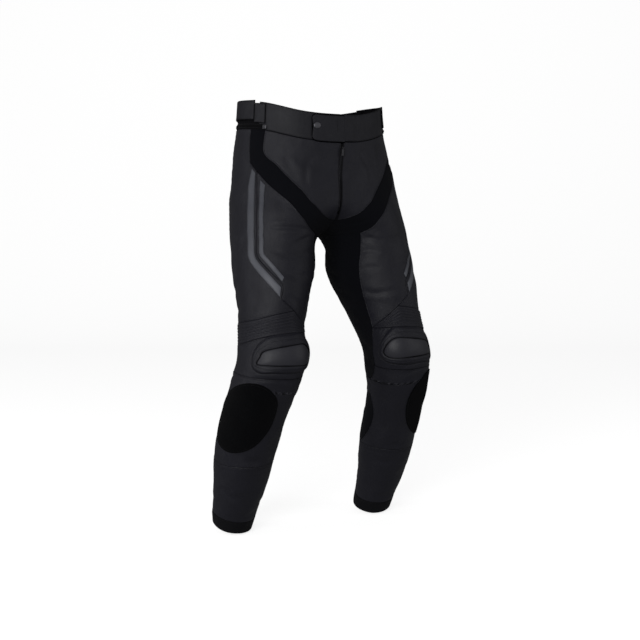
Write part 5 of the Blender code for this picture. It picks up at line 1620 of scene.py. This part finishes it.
snap = {"radius": 0.0062, "u": 0.0594, "drop": 0.004, "lift": 0.0034, "tall": 1.05,
        "points": 48}
# Share of the radius, and the height in metres.
snapProfile = np.array([(0, 0.00215), (0.30, 0.00214), (0.52, 0.00205), (0.62, 0.00185),
                        (0.70, 0.00192), (0.80, 0.00205), (0.90, 0.00190), (0.97, 0.00145),
                        (1.00, 0.00095), (0.985, 0.00045), (0.95, 0.00005), (0.0, 0.00005)])


def makeSnap():
    # The cap is turned from its profile: a flat crown, a rolled rim and a ring under it.
    point, normal = frameAt(np.array([snap["u"]]), np.array([snap["drop"]]), -1)
    out = normal[0]
    side = np.cross([0, 0, 1.0], out)
    side /= np.linalg.norm(side)
    up = np.cross(out, side)
    angle = np.linspace(0, 2 * np.pi, snap["points"], endpoint=False)
    a, k = np.meshgrid(angle, np.arange(len(snapProfile)), indexing="ij")
    r, h = snapProfile[k, 0] * snap["radius"], snapProfile[k, 1] * snap["tall"]
    place = (point[0] + out * (snap["lift"] + h[..., None]) + side * (r * np.cos(a))[..., None]
             + up * (r * np.sin(a))[..., None])
    quads = gridQuads(len(angle), len(snapProfile), closed=True)
    obj = meshObject("snap_cap", place.reshape(-1, 3), quads, merge=1e-6)
    finishPiece(obj, "cap", ["snap_button"])


makeSnap()

for nodeName in ("fly_slider", "fly_pull", "connection_zip_stop"):
    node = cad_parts[nodeName]
    node.data.materials.clear()
    node.data.materials.append(materials["metal"])

bartack = {"w": -0.0043, "top": -0.010, "bottom": 0.014, "lift": 0.0030, "apart": 0.0006,
           "pitch": 0.0016, "points": 26}


def makeBartack():
    # Two short upright rows of close stitches that close the band over the fly.
    drops = np.linspace(bartack["top"], bartack["bottom"], bartack["points"])
    place, out = stripFrame(np.full(drops.shape, bartack["w"]), drops)
    for way in (-1, 1):
        moved = place + out * bartack["lift"] + np.array([way * bartack["apart"], 0, 0])
        keepStitches("band", moved, out, bartack["pitch"], trim=0)


makeBartack()

for thread in list(stitchStore):
    finishPiece(stitchMesh("stitches_" + thread, thread), "thread")
print("zips, snap and stitches made")


# Floor, light and camera

picture = {"width": 640, "focal": 1015, "shift": 8}  # pixels
stage = {"floor": -0.9085, "camera": (-27, 6, 2.25), "aim": (0, 0, -0.445), "sensor": 36,
         "lightAim": (0, 0, -0.45), "air": 0.12}
sweep = {"near": -6.0, "flat": 3.0, "round": 2.0, "top": 8.0, "half": 9.0}
# Name, azimuth, elevation, distance, size and power.
softBoxes = (
    ("soft_box_front", -45, 14, 4.0, (2.2, 2.6), 60),
    ("soft_box_left", -100, 10, 3.0, (1.0, 2.4), 14),
    ("soft_box_right", 48, 12, 3.0, (1.0, 2.4), 8),
)


def makeFloor():
    # A pale floor that curves up into a wall: a flat part, a quarter round and a rise.
    flat, r = sweep["flat"], sweep["round"]
    profile = [(sweep["near"], 0.0), (flat, 0.0)]
    profile += [(flat + r * math.sin(a), r - r * math.cos(a))
                for a in np.linspace(0, 1, 40)[1:] * math.pi / 2]
    profile = np.array(profile + [(flat + r, sweep["top"])])
    a, k = np.meshgrid([-sweep["half"], sweep["half"]], np.arange(len(profile)), indexing="ij")
    place = np.stack([a, profile[k, 0], profile[k, 1] + stage["floor"]], -1)
    turn = math.radians(stage["camera"][0])
    spin = np.array([[math.cos(turn), -math.sin(turn), 0], [math.sin(turn), math.cos(turn), 0],
                     [0, 0, 1]])
    floor = meshObject("floor", place.reshape(-1, 3) @ spin.T, gridQuads(2, len(profile)))
    material, _, _ = newMaterial("paper_sweep_white", {
        "Base Color": hexColour("#f4f4f4"), "Roughness": 0.9, "Specular IOR Level": 0.1,
        "Emission Color": (1, 1, 1, 1), "Emission Strength": 0.80})
    floor.data.materials.append(material)
    floor.visible_glossy = False
    floor.visible_diffuse = False


def placeAt(name, data, azimuth, elevation, distance, aim):
    # A lamp or the camera at an azimuth, a height and a distance, turned towards its aim.
    a, e = math.radians(azimuth), math.radians(elevation)
    back = Vector((math.sin(a) * math.cos(e), -math.cos(a) * math.cos(e), math.sin(e)))
    obj = bpy.data.objects.new(name, data)
    bpy.context.scene.collection.objects.link(obj)
    obj.location = Vector(aim) + back * distance
    obj.rotation_euler = back.to_track_quat("Z", "Y").to_euler()
    return obj


def softLight(name, azimuth, elevation, distance, size, power):
    light = bpy.data.lights.new(name, "AREA")
    light.shape = "RECTANGLE"
    light.size, light.size_y = size
    light.energy = power
    obj = placeAt(name, light, azimuth, elevation, distance, stage["lightAim"])


def makeAir():
    world = bpy.data.worlds.new("studio_air")
    world.use_nodes = True
    inputs = world.node_tree.nodes["Background"].inputs
    inputs["Color"].default_value = (1, 1, 1, 1)
    inputs["Strength"].default_value = stage["air"]
    bpy.context.scene.world = world
    bpy.context.scene.view_settings.view_transform = "Standard"


def makeCamera():
    camera = bpy.data.cameras.new("camera")
    camera.lens = picture["focal"] / picture["width"] * stage["sensor"]
    camera.sensor_width = stage["sensor"]
    camera.shift_x = picture["shift"] / picture["width"]
    bpy.context.scene.camera = placeAt("camera", camera, *stage["camera"], stage["aim"])


makeFloor()
for box in softBoxes:
    softLight(*box)
makeAir()
makeCamera()
